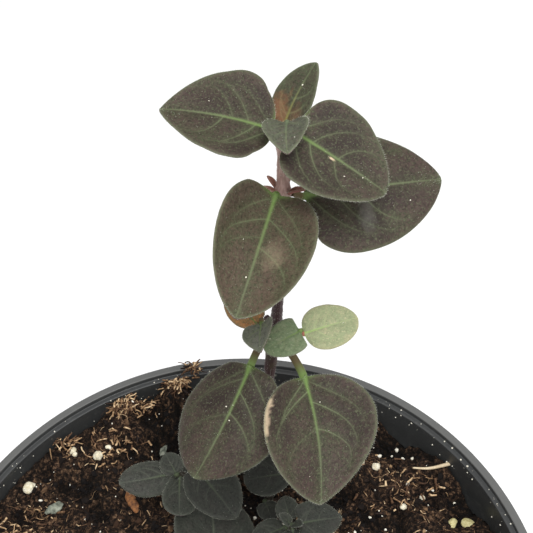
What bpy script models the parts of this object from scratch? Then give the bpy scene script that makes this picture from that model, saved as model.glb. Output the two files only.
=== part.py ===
"""A young lysimachia growing in a round black nursery pot.

Every dimension below is in millimetres and every angle in degrees; they become metres and radians
where a mesh is made. +Z is up, and the origin is the centre of the pot's base.
"""

import math
import random
from collections import namedtuple

import bmesh
import bpy
from mathutils import Vector, noise

MM = 0.001
GAP = 0.3

# Pot
POT_HEIGHT = 90.0
LIP_RADIUS = 54.0
LIP_BAND = 1.6
LIP_DROP = 1.1
LEDGE_RADIUS = 51.4
COLLAR_DEPTH = 9.5
SHOULDER_RADIUS = 52.4
BASE_RADIUS = 38.0
FOOT_WIDTH = 6.0
WALL = 1.2
SHEET = 1.4
CENTRE_PAD_RADIUS = 12.0
FLOOR_RISE = 2.4
FLOOR_SLOPE = 2.0
PAD_STEP = 0.5
FOOT_STEP = 1.0
CORNER_RUN = 0.6
CORNER_HEIGHT = 3.0
INNER_ROUND = 0.2
LEDGE_ROUND = 0.3
OUTER_ROUND = 0.4
BASE_ROUND = 0.8
BASE_RISE = 1.0
DRAIN_HOLES = 8
DRAIN_RADIUS = 3.0
DRILL_REACH = 8.0
DRILL_SIDES = 12
POT_SEGMENTS = 52

# Potting mix
MIX_LEVEL = 84.0
MIX_RINGS = 12
MIX_SEGMENTS = 52
SIDE_RINGS = 3
EDGE_DEPTH = 4.0
CRUMB_SIZE = 4.5
CRUMB_RELIEF = 0.9
STEM_FOOT = 72.0
LOOSE_GRAINS = 14
GRAIN_MARGIN = 4.0
GRAIN_SPACING = 6.0
GRAIN_SINK = 0.15
SEED = 7

# Leaf blades: thickness, depth at the midrib, width of the tip, and the share over which the stalk flattens
BLADE = 0.62
RIB = 0.95
TIP_WIDTH = 0.5
STALK_BLEND = 0.15
HEEL_START = 0.08

Swell = namedtuple("Swell", "x y rise spread")
Grain = namedtuple("Grain", "x y size length turn")
Shoot = namedtuple("Shoot", "foot top radius leaves")
Leaf = namedtuple(
    "Leaf",
    "base heading pitch roll length width bend cup lobe rise fall sweep foot stalk",
    defaults=(0.04, 0.45, 0.65, 0.0, None, 0.5),
)

# Heaps and hollows of the mix: where they lie, how far they rise and how wide they spread
SWELLS = (
    Swell(-20, 45, 3.5, 4.0),
    Swell(-11, 48, 4.5, 3.0),
    Swell(-33, 37, 2.5, 5.0),
    Swell(27, 29, 1.2, 8.0),
    Swell(-12, 39, -5.0, 4.5),
    Swell(32, 37, -3.0, 5.0),
    Swell(44, 22, -2.5, 6.0),
    Swell(6, 44, -4.0, 7.0),
    Swell(4, 24, -2.5, 7.0),
)

# Perlite grains and bark chips that show in the mix
GRAINS = (
    Grain(-25.5, 36.0, 0.95, 1.0, 0),
    Grain(-38.2, 29.6, 1.2, 1.0, 60),
    Grain(-33.0, 25.0, 1.1, 1.6, 30),
    Grain(-18.6, 26.0, 1.0, 2.6, 115),
    Grain(28.0, 29.5, 0.8, 1.0, 0),
    Grain(25.2, 31.0, 0.8, 1.0, 0),
    Grain(36.3, 24.4, 0.6, 1.0, 0),
    Grain(32.4, 22.0, 0.6, 1.1, 20),
    Grain(44.3, 19.0, 1.1, 1.3, 150),
    Grain(41.0, 18.2, 0.8, 1.3, 60),
)

# Centre line and radius of the main stem, from inside the mix to just under the tip leaves
MAIN_STEM = (
    ((6.0, 29.2, STEM_FOOT), 1.1),
    ((6.0, 29.2, 84.0), 1.1),
    ((6.4, 28.5, 91.0), 1.05),
    ((7.2, 25.3, 104.0), 1.0),
    ((8.0, 21.2, 119.0), 0.95),
    ((8.9, 17.6, 133.0), 0.8),
    ((9.95, 15.2, 146.0), 0.95),
    ((10.6, 15.0, 152.0), 0.7),
    ((11.3, 15.9, 160.0), 0.65),
    ((12.0, 18.0, 170.7), 0.8),
    ((12.2, 19.4, 176.6), 0.6),
    ((12.3, 19.8, 178.0), 0.5),
)
LOWER_NODE = Vector((9.95, 15.2, 146.0))
MIDDLE_NODE = Vector((12.0, 18.0, 170.7))
UPPER_NODE = Vector((12.3, 19.6, 177.2))

# Side twigs that carry the small leaves, each from the lower node to its end
SIDE_TWIGS = (
    (LOWER_NODE, Vector((11.6, 12.8, 149.0)), Vector((13.15, 10.55, 151.75))),
    (LOWER_NODE, Vector((9.5, 12.7, 149.9)), Vector((9.1, 10.8, 154.8))),
)

TWIG_RADII = (0.55, 0.5, 0.48, 0.45, 0.42)

# Small folded leaves in the angles of the middle node: heading, pitch and length of each
BUDS = ((200, 42, 2.6), (150, 60, 2.0), (325, 42, 2.8), (60, 55, 2.0))

# Leaves of the main shoot, in opposite pairs from the tip down, then the small leaves of its twigs
MAIN_LEAVES = {
    "tip_leaf_back": Leaf(
        (12.6, 22.5, 177.85), 40.7, 61.5, 2.6, 8.7, 5.8, 14, 9, 0.09, 0.35, 0.66, -0.08,
        foot=(12.45, 20.8, 177.3), stalk=0.4,
    ),
    "tip_leaf_front": Leaf(
        (12.8, 18.3, 181.7), -96.3, 32.7, 5.7, 7.6, 5.75, 40, 20, 0.07, 0.57, 0.77, 0.03,
        foot=(12.5, 19.4, 179.2), stalk=0.4,
    ),
    "upper_leaf_left": Leaf(
        (11.1, 18.9, 180.2), 170, 21, -10, 13.6, 13.5, 8, 11, -0.07, 0.40, 0.79, 0.14,
        foot=UPPER_NODE + Vector((-0.9, -0.5, 1.3)),
    ),
    "upper_leaf_right": Leaf(
        (13.5, 17.8, 180.75), -29.4, -19.8, 10.4, 13.35, 13.25, 15.4, 10, 0.0, 0.28, 0.67, 0.03,
        foot=UPPER_NODE + Vector((1.1, -1.3, 0.9)),
    ),
    "middle_leaf_front": Leaf(
        (11.0, 16.0, 172.1), -105.4, 0, -20.7, 18.3, 13.6, 15.5, 27, 0.04, 0.42, 0.57, 0.01,
        foot=MIDDLE_NODE + Vector((-0.6, -1.55, 0.5)),
    ),
    "middle_leaf_right": Leaf(
        (14.9, 19.9, 167.9), 6.8, 0.9, 25.6, 18.7, 16.7, 16.7, -7.6, 0.03, 0.34, 0.63, 0.02,
        foot=MIDDLE_NODE + Vector((1.1, 0.7, -0.9)),
    ),
    "lower_leaf_left": Leaf(
        (6.4, 11.0, 144.3), -120, -31, 4, 17.3, 15.5, 5, -14, 0.06, 0.64, 0.68, -0.1,
        foot=LOWER_NODE + Vector((-1.4, -1.0, 0.3)), stalk=0.55,
    ),
    "lower_leaf_right": Leaf(
        (13.7, 9.7, 142.6), -75.4, -14.6, -12.4, 17.6, 17.3, 13.5, 15.6, 0.02, 0.58, 0.78, -0.16,
        foot=LOWER_NODE + Vector((1.1, -1.3, -0.6)), stalk=0.6,
    ),
    "side_leaf_pale": Leaf(
        (13.9, 10.0, 152.0), 14.6, 6.2, 9, 7.6, 6.8, 10, -1, 0.0, 0.37, 0.51,
        foot=(13.6, 9.95, 152.1), stalk=0.35,
    ),
    "side_leaf_green": Leaf(
        (13.3, 9.0, 153.8), -158.8, -10.2, -5.7, 5.3, 5.5, 10, -0.5, 0.09, 0.24, 0.54,
        foot=(13.15, 9.85, 152.85), stalk=0.35,
    ),
    "side_leaf_grey": Leaf(
        (8.3, 9.2, 155.6), -98, 5, 34, 4.6, 5.1, 16, 17, 0.09, 0.45, 0.95,
        foot=(8.4, 9.9, 155.6), stalk=0.35,
    ),
    "side_leaf_orange": Leaf(
        (7.7, 10.7, 153.7), 132, 18, 0, 5.8, 5.0, 12, 8, 0.03, 0.4, 0.6,
        foot=(7.95, 10.6, 153.7), stalk=0.3,
    ),
}

# Low leafy shoots that rise from the mix round the main stem
BASAL_SHOOTS = {
    "basal_shoot_left": Shoot(
        (-7.5, 27.0), (-8.6, 24.2, 95.5), 0.8,
        (
            Leaf((-9.2, 24.3, 96.0), 198, 7, -14, 10.0, 6.7, 8, -6, 0.02, 0.55, 0.6, -0.1),
            Leaf((-8.9, 23.8, 96.4), 118, 20, -9, 4.4, 4.2, 20, 4),
            Leaf((-8.4, 23.6, 95.3), -91, 5, -10, 7.8, 6.1, 4, 6, 0.08, 0.65, 0.4, 0.04),
            Leaf((-7.8, 26.4, 89.0), 60, 12, 0, 6.0, 4.6, 15, 6),
        ),
    ),
    "basal_shoot_middle": Shoot(
        (-3.0, 28.5), (-5.4, 22.8, 101.5), 0.85,
        (
            Leaf((-5.0, 21.5, 102.0), -54, -4, 1, 11.7, 9.1, 11, 4, 0.06, 0.51, 0.67),
            Leaf((-5.2, 23.8, 102.0), 88, 14, 0, 6.0, 5.0, 14, 6),
            Leaf((-3.6, 26.6, 94.0), 38, 8, 0, 8.0, 6.4, 14, 6),
        ),
    ),
    "basal_shoot_centre": Shoot(
        (7.0, 21.0), (10.4, 22.1, 96.6), 0.7,
        (
            Leaf((11.2, 22.2, 97.0), 185, 2, 0, 8.0, 8.4, 12, 6, 0.06, 0.55, 0.55),
            Leaf((6.7, 20.2, 90.8), -72, 0, 0, 4.0, 4.0, 12, 6),
            Leaf((8.8, 23.5, 95.0), 40, 10, 0, 6.0, 4.8, 14, 6),
        ),
    ),
    "basal_shoot_right": Shoot(
        (11.5, 13.5), (11.2, 12.6, 95.5), 0.8,
        (
            Leaf((12.4, 12.4, 96.6), 8, 1, 14, 7.9, 6.9, 24, 4, 0.14, 0.36, 0.72),
            Leaf((9.9, 13.1, 94.2), 202, 5, 0, 6.2, 5.2, 11, 5),
            Leaf((10.9, 13.5, 96.0), 101, 12, -10, 4.6, 4.0, 16, 7, 0.07, 0.5, 0.7),
            Leaf((11.3, 11.7, 95.6), -84, 16, 0, 6.0, 4.8, 16, 8),
            Leaf((10.9, 12.4, 96.8), 150, 50, 0, 2.6, 2.0, 20, 12, stalk=0.35),
            Leaf((11.5, 12.2, 96.8), -40, 50, 0, 2.6, 2.0, 20, 12, stalk=0.35),
        ),
    ),
    "basal_shoot_front": Shoot(
        (-3.0, 3.0), (-2.8, 5.2, 92.5), 0.9,
        (
            Leaf((-2.6, 6.6, 91.8), 88, 3, 16, 16.4, 14.6, 16, 8, 0.04, 0.56, 0.64, 0.05),
            Leaf((-3.0, 3.8, 92.4), -94, 6, 0, 12.0, 9.6, 16, 8),
            Leaf((-1.6, 5.0, 93.6), 4, 20, 0, 5.6, 4.2, 14, 8),
            Leaf((-4.0, 5.0, 93.6), 182, 20, 0, 6.0, 4.6, 14, 8),
        ),
    ),
}


def clear_scene():
    for thing in list(bpy.context.scene.objects):
        bpy.data.objects.remove(thing, do_unlink=True)


def material(name, colour, roughness, metallic=0.0):
    made = bpy.data.materials.new(name)
    made.use_nodes = True
    shader = made.node_tree.nodes["Principled BSDF"]
    shader.inputs["Base Color"].default_value = (*colour, 1.0)
    shader.inputs["Roughness"].default_value = roughness
    shader.inputs["Metallic"].default_value = metallic
    return made


def add_object(name, shape, finish=None, sharp_angle=40):
    """Turns a bmesh in millimetres into an object in metres and frees the bmesh."""
    bmesh.ops.recalc_face_normals(shape, faces=shape.faces)
    bmesh.ops.scale(shape, vec=(MM, MM, MM), verts=shape.verts)
    mesh = bpy.data.meshes.new(name)
    shape.to_mesh(mesh)
    shape.free()
    if finish:
        mesh.materials.append(finish)
    mesh.shade_smooth()
    mesh.set_sharp_from_angle(angle=math.radians(sharp_angle))
    thing = bpy.data.objects.new(name, mesh)
    bpy.context.scene.collection.objects.link(thing)
    return thing


def combine(body, pieces, operation, solver="EXACT"):
    """Joins the pieces to the body, or cuts them from it, in one Boolean, and removes them."""
    group = bpy.data.collections.new("operands")
    for piece in pieces:
        piece.hide_render = True
        piece.display_type = "WIRE"
        group.objects.link(piece)
    boolean = body.modifiers.new("combine", "BOOLEAN")
    boolean.operation = operation
    boolean.solver = solver
    boolean.operand_type = "COLLECTION"
    boolean.collection = group
    evaluated = body.evaluated_get(bpy.context.evaluated_depsgraph_get())
    mesh = bpy.data.meshes.new_from_object(evaluated)
    body.modifiers.clear()
    body.data = mesh
    for piece in pieces:
        bpy.data.objects.remove(piece, do_unlink=True)
    bpy.data.collections.remove(group)


def bridge(shape, lower, upper):
    """Quads between two rings of vertices; a ring of one vertex is a pole."""
    if len(lower) == 1 and len(upper) == 1:
        return
    count = max(len(lower), len(upper))
    for i in range(count):
        j = (i + 1) % count
        corners = [lower[i % len(lower)], lower[j % len(lower)], upper[j % len(upper)], upper[i % len(upper)]]
        shape.faces.new(dict.fromkeys(corners))


def lathe(profile, segments):
    """Solid turned about the Z axis from an open or closed line of (radius, height) points."""
    shape = bmesh.new()
    rings = []
    for radius, height in profile:
        if radius == 0:
            rings.append([shape.verts.new((0, 0, height))])
            continue
        angles = [2 * math.pi * i / segments for i in range(segments)]
        rings.append([shape.verts.new((radius * math.cos(a), radius * math.sin(a), height)) for a in angles])
    for lower, upper in zip(rings, rings[1:]):
        bridge(shape, lower, upper)
    return shape


def wall_outer(height):
    shoulder_height = POT_HEIGHT - COLLAR_DEPTH
    return BASE_RADIUS + (SHOULDER_RADIUS - BASE_RADIUS) * height / shoulder_height


def wall_inner(height):
    return min(wall_outer(height) - WALL, LEDGE_RADIUS)


def build_pot():
    """Tapered pot with a collar, a flat lip over a narrow ledge, a raised floor ring and drain holes."""
    shoulder = POT_HEIGHT - COLLAR_DEPTH
    ledge = POT_HEIGHT - LIP_DROP
    lip_inner = LIP_RADIUS - LIP_BAND
    foot_inner = BASE_RADIUS - FOOT_WIDTH
    kink = (LEDGE_RADIUS + WALL - BASE_RADIUS) / (SHOULDER_RADIUS - BASE_RADIUS) * shoulder
    inside = [
        (0, SHEET),
        (CENTRE_PAD_RADIUS + PAD_STEP, SHEET),
        (CENTRE_PAD_RADIUS + PAD_STEP + FLOOR_SLOPE, SHEET + FLOOR_RISE),
        (foot_inner - FOOT_STEP - FLOOR_SLOPE, SHEET + FLOOR_RISE),
        (foot_inner - FOOT_STEP, SHEET),
        (wall_inner(SHEET) - CORNER_RUN, SHEET),
        (wall_inner(CORNER_HEIGHT), CORNER_HEIGHT),
        (wall_inner(kink / 2), kink / 2),
        (LEDGE_RADIUS, kink),
        (LEDGE_RADIUS, ledge - LEDGE_ROUND),
        (LEDGE_RADIUS + LEDGE_ROUND, ledge),
        (lip_inner, ledge),
        (lip_inner, POT_HEIGHT - INNER_ROUND),
        (lip_inner + INNER_ROUND, POT_HEIGHT),
    ]
    outside = [
        (LIP_RADIUS - OUTER_ROUND, POT_HEIGHT),
        (LIP_RADIUS, POT_HEIGHT - OUTER_ROUND),
        (LIP_RADIUS, shoulder + OUTER_ROUND),
        (LIP_RADIUS - OUTER_ROUND, shoulder),
        (SHOULDER_RADIUS, shoulder - OUTER_ROUND),
        (wall_outer(shoulder / 2), shoulder / 2),
        (wall_outer(BASE_RISE), BASE_RISE),
        (BASE_RADIUS - BASE_ROUND, 0),
        (foot_inner, 0),
        (foot_inner - FLOOR_SLOPE, FLOOR_RISE),
        (CENTRE_PAD_RADIUS + FLOOR_SLOPE, FLOOR_RISE),
        (CENTRE_PAD_RADIUS, 0),
        (0, 0),
    ]
    black = material("pot_black", (0.022, 0.024, 0.026), 0.45)
    pot = add_object("pot", lathe(inside + outside, POT_SEGMENTS), black)
    drills = []
    radius = (CENTRE_PAD_RADIUS + foot_inner) / 2
    for i in range(DRAIN_HOLES):
        turn = 2 * math.pi * (i + 0.5) / DRAIN_HOLES
        spot = Vector((radius * math.cos(turn), radius * math.sin(turn), 0))
        reach = Vector((0, 0, DRILL_REACH))
        drills.append(add_object("drill", tube([spot - reach, spot + reach], [DRAIN_RADIUS] * 2, DRILL_SIDES)))
    combine(pot, drills, "DIFFERENCE")
    return pot


def tube(path, radii, sides):
    """Round tube along a line of points, closed at both ends, its sides following the line without twist."""
    shape = bmesh.new()
    side = None
    rings = []
    for i, point in enumerate(path):
        ahead = (path[min(i + 1, len(path) - 1)] - path[max(i - 1, 0)]).normalized()
        if side is None:
            side = ahead.orthogonal().normalized()
        side = (side - ahead * side.dot(ahead)).normalized()
        other = ahead.cross(side)
        ring = []
        for k in range(sides):
            angle = 2 * math.pi * k / sides
            spoke = side * math.cos(angle) + other * math.sin(angle)
            ring.append(shape.verts.new(point + spoke * radii[i]))
        rings.append(ring)
    for lower, upper in zip(rings, rings[1:]):
        bridge(shape, lower, upper)
    shape.faces.new(rings[0])
    shape.faces.new(rings[-1])
    return shape


def spline(points, steps):
    """Smooth line through the points, each a tuple or Vector of any size, with a few steps a span."""
    points = [Vector(p) for p in points]
    line = []
    for i in range(len(points) - 1):
        before, start = points[max(i - 1, 0)], points[i]
        end, after = points[i + 1], points[min(i + 2, len(points) - 1)]
        for step in range(steps):
            t = step / steps
            line.append(
                0.5 * (
                    2 * start
                    + (end - before) * t
                    + (2 * before - 5 * start + 4 * end - after) * t ** 2
                    + (3 * start - before - 3 * end + after) * t ** 3
                )
            )
    line.append(points[-1])
    return line


def mix_height(x, y):
    """Height of the potting mix above the point (x, y)."""
    height = MIX_LEVEL
    for swell in SWELLS:
        distance = math.hypot(x - swell.x, y - swell.y)
        height += swell.rise * math.exp(-((distance / swell.spread) ** 2))
    place = Vector((x, y, 0))
    height += 2 * CRUMB_RELIEF * noise.noise(place / (3 * CRUMB_SIZE))
    height += CRUMB_RELIEF * noise.noise(place / CRUMB_SIZE)
    return height


def mix_body():
    """Plug of potting mix that fills the pot, its top raised into heaps and hollows."""
    shape = bmesh.new()
    bottom = SHEET + FLOOR_RISE + GAP
    edge = LEDGE_RADIUS - GAP
    angles = [2 * math.pi * i / MIX_SEGMENTS for i in range(MIX_SEGMENTS)]
    rings = [[shape.verts.new((0, 0, bottom))]]
    for i in range(SIDE_RINGS):
        height = bottom + (MIX_LEVEL - EDGE_DEPTH - bottom) * i / (SIDE_RINGS - 1)
        radius = wall_inner(height) - GAP
        rings.append([shape.verts.new((radius * math.cos(a), radius * math.sin(a), height)) for a in angles])
    for i in range(MIX_RINGS):
        ring = []
        for angle in angles:
            radius = edge * (1 - i / MIX_RINGS)
            height = mix_height(radius * math.cos(angle), radius * math.sin(angle))
            radius = min(radius, wall_inner(height) - GAP)
            ring.append(shape.verts.new((radius * math.cos(angle), radius * math.sin(angle), height)))
        rings.append(ring)
    rings.append([shape.verts.new((0, 0, mix_height(0, 0)))])
    for lower, upper in zip(rings, rings[1:]):
        bridge(shape, lower, upper)
    return shape


def grain_body(grain, draw):
    """Lump half sunk in the mix, its corners moved a little at random."""
    shape = bmesh.new()
    bmesh.ops.create_icosphere(shape, subdivisions=1, radius=1)
    turn = math.radians(grain.turn)
    ahead = Vector((math.cos(turn), math.sin(turn), 0))
    centre = Vector((grain.x, grain.y, mix_height(grain.x, grain.y) + GRAIN_SINK * grain.size))
    for vert in shape.verts:
        spoke = vert.co * grain.size * draw.uniform(0.8, 1.1)
        spoke += ahead * ahead.dot(spoke) * (grain.length - 1)
        vert.co = centre + spoke
    return shape


def loose_grains(draw):
    """Grains scattered over the front half of the mix, clear of the stems and the wall."""
    found = []
    feet = [Vector(shoot.foot) for shoot in BASAL_SHOOTS.values()]
    feet.append(Vector(MAIN_STEM[0][0][:2]))
    while len(found) < LOOSE_GRAINS:
        turn = draw.uniform(math.pi, 2 * math.pi)
        radius = (LEDGE_RADIUS - GRAIN_MARGIN) * math.sqrt(draw.random())
        place = Vector((radius * math.cos(turn), radius * math.sin(turn)))
        taken = feet + [Vector((grain.x, grain.y)) for grain in found]
        if min((place - other).length for other in taken) < GRAIN_SPACING:
            continue
        found.append(Grain(place.x, place.y, draw.uniform(0.7, 1.2), draw.uniform(1, 1.4), draw.uniform(0, 180)))
    return found


def build_mix():
    draw = random.Random(SEED)
    brown = material("potting_mix_brown", (0.045, 0.026, 0.016), 0.95)
    mix = add_object("potting_mix", mix_body(), brown, sharp_angle=60)
    grains = list(GRAINS) + loose_grains(draw)
    combine(mix, [add_object("grain", grain_body(grain, draw)) for grain in grains], "UNION")
    drills = []
    stems = [(Vector(shoot.foot), shoot.radius) for shoot in BASAL_SHOOTS.values()]
    stems.append((Vector(MAIN_STEM[0][0][:2]), MAIN_STEM[0][1]))
    for foot, radius in stems:
        low = Vector((foot.x, foot.y, STEM_FOOT - GAP))
        high = Vector((foot.x, foot.y, MIX_LEVEL + DRILL_REACH))
        drills.append(add_object("drill", tube([low, high], [radius + GAP] * 2, DRILL_SIDES)))
    combine(mix, drills, "DIFFERENCE")
    return mix


def leaf_axes(leaf):
    """Unit vectors along the leaf's midrib, to its left side and out of its upper face, at its base."""
    heading, pitch, roll = (math.radians(a) for a in (leaf.heading, leaf.pitch, leaf.roll))
    along = Vector((
        math.cos(pitch) * math.cos(heading),
        math.cos(pitch) * math.sin(heading),
        math.sin(pitch),
    ))
    level = Vector((-math.sin(heading), math.cos(heading), 0))
    side = level * math.cos(roll) + along.cross(level) * math.sin(roll)
    return along, side, along.cross(side)


def half_width(leaf, t):
    """Half the blade's width a share t of the way from its base to its tip."""
    widest = leaf.rise / (leaf.rise + leaf.fall)
    peak = widest ** leaf.rise * (1 - widest) ** leaf.fall
    outline = leaf.width / 2 * t ** leaf.rise * (1 - t) ** leaf.fall / peak
    return max(outline, leaf.stalk * (1 - t), TIP_WIDTH / 2)


def blade_row(leaf, t, across):
    """Points across the blade's middle surface at t: a midrib that arches, margins that cup and heel lobes."""
    along, side, normal = leaf_axes(leaf)
    bend = math.radians(leaf.bend)
    turn = bend * t
    rib = Vector(leaf.base) + along * (leaf.length * math.sin(turn) / bend)
    rib += normal * (leaf.length * (math.cos(turn) - 1) / bend) + side * (leaf.sweep * leaf.length * t * t)
    ahead = along * math.cos(turn) - normal * math.sin(turn)
    up = normal * math.cos(turn) + along * math.sin(turn)
    half = half_width(leaf, t)
    row = []
    for v in across:
        lift = math.radians(leaf.cup) * abs(v)
        heel = leaf.lobe * leaf.length * (1 - t) ** 3 * abs(v) ** 1.5 * min(1, t / HEEL_START)
        row.append(rib + side * (half * v * math.cos(lift)) + up * (half * abs(v) * math.sin(lift)) - ahead * heel)
    return row


def stalk_rows(leaf, foot, across, count):
    """Rows of points along the leaf stalk, on a curve from its foot to the blade's base."""
    along, side, _ = leaf_axes(leaf)
    base = Vector(leaf.base)
    foot = Vector(foot)
    reach = (base - foot).length
    second = foot + (base - foot) * 0.3 + Vector((0, 0, 0.12 * reach))
    third = base - along * (reach * 0.35)
    rows = []
    for i in range(count):
        u = i / count
        centre = (1 - u) ** 3 * foot + 3 * u * (1 - u) ** 2 * second + 3 * u * u * (1 - u) * third + u ** 3 * base
        rows.append([centre + side * (leaf.stalk * v) for v in across])
    return rows


def row_normals(rows):
    """Normal of the surface through the rows, at every point."""
    last = len(rows) - 1
    end = len(rows[0]) - 1
    normals = []
    for j, row in enumerate(rows):
        line = []
        for i in range(len(row)):
            forward = rows[min(j + 1, last)][i] - rows[max(j - 1, 0)][i]
            sideways = row[min(i + 1, end)] - row[max(i - 1, 0)]
            line.append(forward.cross(sideways).normalized())
        normals.append(line)
    return normals


def leaf_body(leaf, foot, blade_steps, half_columns, stalk_steps=3):
    """One closed body for a leaf: a round stalk that widens into a thin blade with a ribbed underside."""
    across = [i / half_columns for i in range(-half_columns, half_columns + 1)]
    rows = stalk_rows(leaf, foot, across, stalk_steps)
    stations = [math.sin(math.pi / 2 * k / blade_steps) ** 2 for k in range(blade_steps + 1)]
    rows += [blade_row(leaf, t, across) for t in stations]
    shares = [0] * stalk_steps + stations
    shape = bmesh.new()
    rings = []
    for row, normals, t in zip(rows, row_normals(rows), shares):
        blend = min(1, t / STALK_BLEND)
        upper, lower = [], []
        for point, normal, v in zip(row, normals, across):
            stalk = leaf.stalk * math.sqrt(1 - 0.7 * v * v)
            rib = BLADE / 2 + (RIB - BLADE) * (1 - t) * max(0, 1 - 3 * abs(v))
            upper.append(shape.verts.new(point + normal * (stalk * (1 - blend) + BLADE / 2 * blend)))
            lower.append(shape.verts.new(point - normal * (stalk * (1 - blend) + rib * blend)))
        rings.append((upper, lower))
    skin(shape, rings)
    return shape


def skin(shape, rings):
    """Triangles over the upper and lower rows, split alike on both faces, with the rims and ends closed."""
    for (upper, lower), (next_upper, next_lower) in zip(rings, rings[1:]):
        for i in range(len(upper) - 1):
            for near, far in ((upper, next_upper), (lower, next_lower)):
                shape.faces.new((near[i], near[i + 1], far[i + 1]))
                shape.faces.new((near[i], far[i + 1], far[i]))
        for i in (0, -1):
            shape.faces.new((upper[i], lower[i], next_lower[i]))
            shape.faces.new((upper[i], next_lower[i], next_upper[i]))
    for upper, lower in (rings[0], rings[-1]):
        for i in range(len(upper) - 1):
            shape.faces.new((upper[i], upper[i + 1], lower[i + 1]))
            shape.faces.new((upper[i], lower[i + 1], lower[i]))


def bud_leaves():
    """Small folded leaves in the angles of the middle node, sunk in the stem."""
    buds = []
    for heading, pitch, length in BUDS:
        turn = math.radians(heading)
        outward = Vector((math.cos(turn), math.sin(turn), 0.4))
        base = MIDDLE_NODE + outward * 0.9
        bud = Leaf(base, heading, pitch, 0, length, length * 0.45, 15, 25, stalk=0.3)
        buds.append(leaf_body(bud, MIDDLE_NODE + outward * 0.2, 4, 1, 1))
    return buds


def build_main_stem():
    line = spline([(*point, radius) for point, radius in MAIN_STEM], 2)
    path = [Vector(p[:3]) for p in line]
    purple = material("stem_purple", (0.055, 0.022, 0.026), 0.6)
    stem = add_object("main_stem", tube(path, [p[3] for p in line], 8), purple)
    pieces = [add_object("bud", bud) for bud in bud_leaves()]
    for twig in SIDE_TWIGS:
        pieces.append(add_object("twig", tube(spline(twig, 2), TWIG_RADII, 6)))
    combine(stem, pieces, "UNION")
    return stem


def build_main_leaves():
    colours = {
        "tip_leaf_back": (0.11, 0.07, 0.045),
        "tip_leaf_front": (0.08, 0.085, 0.065),
        "side_leaf_pale": (0.38, 0.40, 0.24),
        "side_leaf_green": (0.11, 0.15, 0.08),
        "side_leaf_grey": (0.09, 0.11, 0.08),
        "side_leaf_orange": (0.25, 0.11, 0.04),
    }
    bronze = (0.085, 0.075, 0.055)
    for name, leaf in MAIN_LEAVES.items():
        finish = material(f"{name}_colour", colours.get(name, bronze), 0.55)
        large = leaf.length > 10
        body = leaf_body(leaf, leaf.foot, 10 if large else 7, 3 if large else 2)
        add_object(name, body, finish)


def shoot_path(shoot):
    """Stem of a low shoot: straight up out of the mix, then curving over to its top."""
    start = Vector((*shoot.foot, STEM_FOOT))
    mouth = Vector((*shoot.foot, MIX_LEVEL + 3))
    top = Vector(shoot.top)
    rise = (top.z - mouth.z) * 0.5
    bend = mouth + Vector((0, 0, rise))
    path = [start, mouth]
    for i in range(1, 5):
        t = i / 4
        path.append(mouth * (1 - t) ** 2 + bend * 2 * t * (1 - t) + top * t * t)
    return path


def build_basal_shoots():
    for name, shoot in BASAL_SHOOTS.items():
        path = shoot_path(shoot)
        radii = [shoot.radius] * 2 + [shoot.radius * (1 - 0.08 * i) for i in range(1, 5)]
        dark = material(f"{name}_green", (0.055, 0.065, 0.05), 0.55)
        stem = add_object(name, tube(path, radii, 8), dark)
        pieces = []
        for leaf in shoot.leaves:
            foot = min(path, key=lambda point: (point - Vector(leaf.base)).length)
            large = leaf.length > 7
            body = leaf_body(leaf, foot, 7 if large else 5, 2 if large else 1, 2)
            pieces.append(add_object("leaf", body))
        combine(stem, pieces, "UNION")


clear_scene()
build_pot()
build_mix()
build_main_stem()
build_main_leaves()
build_basal_shoots()
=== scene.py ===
"""Looks of the potted lysimachia: fine leaves with hairs, a broken surface of potting mix, and the pot.

Lengths are in millimetres and angles in degrees; they become metres and radians where a mesh is made.
+Z is up, and the origin is the centre of the pot's base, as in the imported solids.
"""

import math
from collections import namedtuple

import bmesh
import bpy
import numpy as np
from mathutils import Matrix, Vector, noise


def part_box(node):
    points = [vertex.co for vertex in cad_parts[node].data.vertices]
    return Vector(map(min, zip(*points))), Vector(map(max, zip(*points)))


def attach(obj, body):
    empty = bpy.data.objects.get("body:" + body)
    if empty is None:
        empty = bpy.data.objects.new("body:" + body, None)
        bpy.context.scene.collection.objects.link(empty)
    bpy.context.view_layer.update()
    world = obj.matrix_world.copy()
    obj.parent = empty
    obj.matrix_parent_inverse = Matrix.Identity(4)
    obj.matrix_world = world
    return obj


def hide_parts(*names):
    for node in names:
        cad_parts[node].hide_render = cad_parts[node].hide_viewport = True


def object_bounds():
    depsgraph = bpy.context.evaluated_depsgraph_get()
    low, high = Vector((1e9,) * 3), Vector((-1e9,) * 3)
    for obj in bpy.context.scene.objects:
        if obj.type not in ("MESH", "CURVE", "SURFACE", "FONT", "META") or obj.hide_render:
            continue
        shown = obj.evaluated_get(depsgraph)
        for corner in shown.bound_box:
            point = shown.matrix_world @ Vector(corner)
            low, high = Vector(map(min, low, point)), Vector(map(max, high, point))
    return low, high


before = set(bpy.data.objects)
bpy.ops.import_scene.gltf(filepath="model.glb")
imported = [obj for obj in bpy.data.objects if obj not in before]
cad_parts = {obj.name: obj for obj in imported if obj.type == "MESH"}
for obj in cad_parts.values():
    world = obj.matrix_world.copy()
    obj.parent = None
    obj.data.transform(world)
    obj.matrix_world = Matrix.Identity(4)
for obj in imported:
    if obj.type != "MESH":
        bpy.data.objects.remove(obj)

CAD_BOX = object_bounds()
MM = 0.001
SEED = 11
STEM_SEED = SEED + 50
SHOOT_SEED = SEED + 100
FULL_TURN = 6.3

# The photograph's camera: where it stands, how far it looks down, its roll and its focal length in pixels
PHOTO_SIZE = 533
CAMERA_PLACE = Vector((9.4, -81.3, 267.2))
CAMERA_DOWN = 48.0
CAMERA_ROLL = -3.3
FOCAL_PIXELS = 1100.0
SENSOR = 36.0

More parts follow.
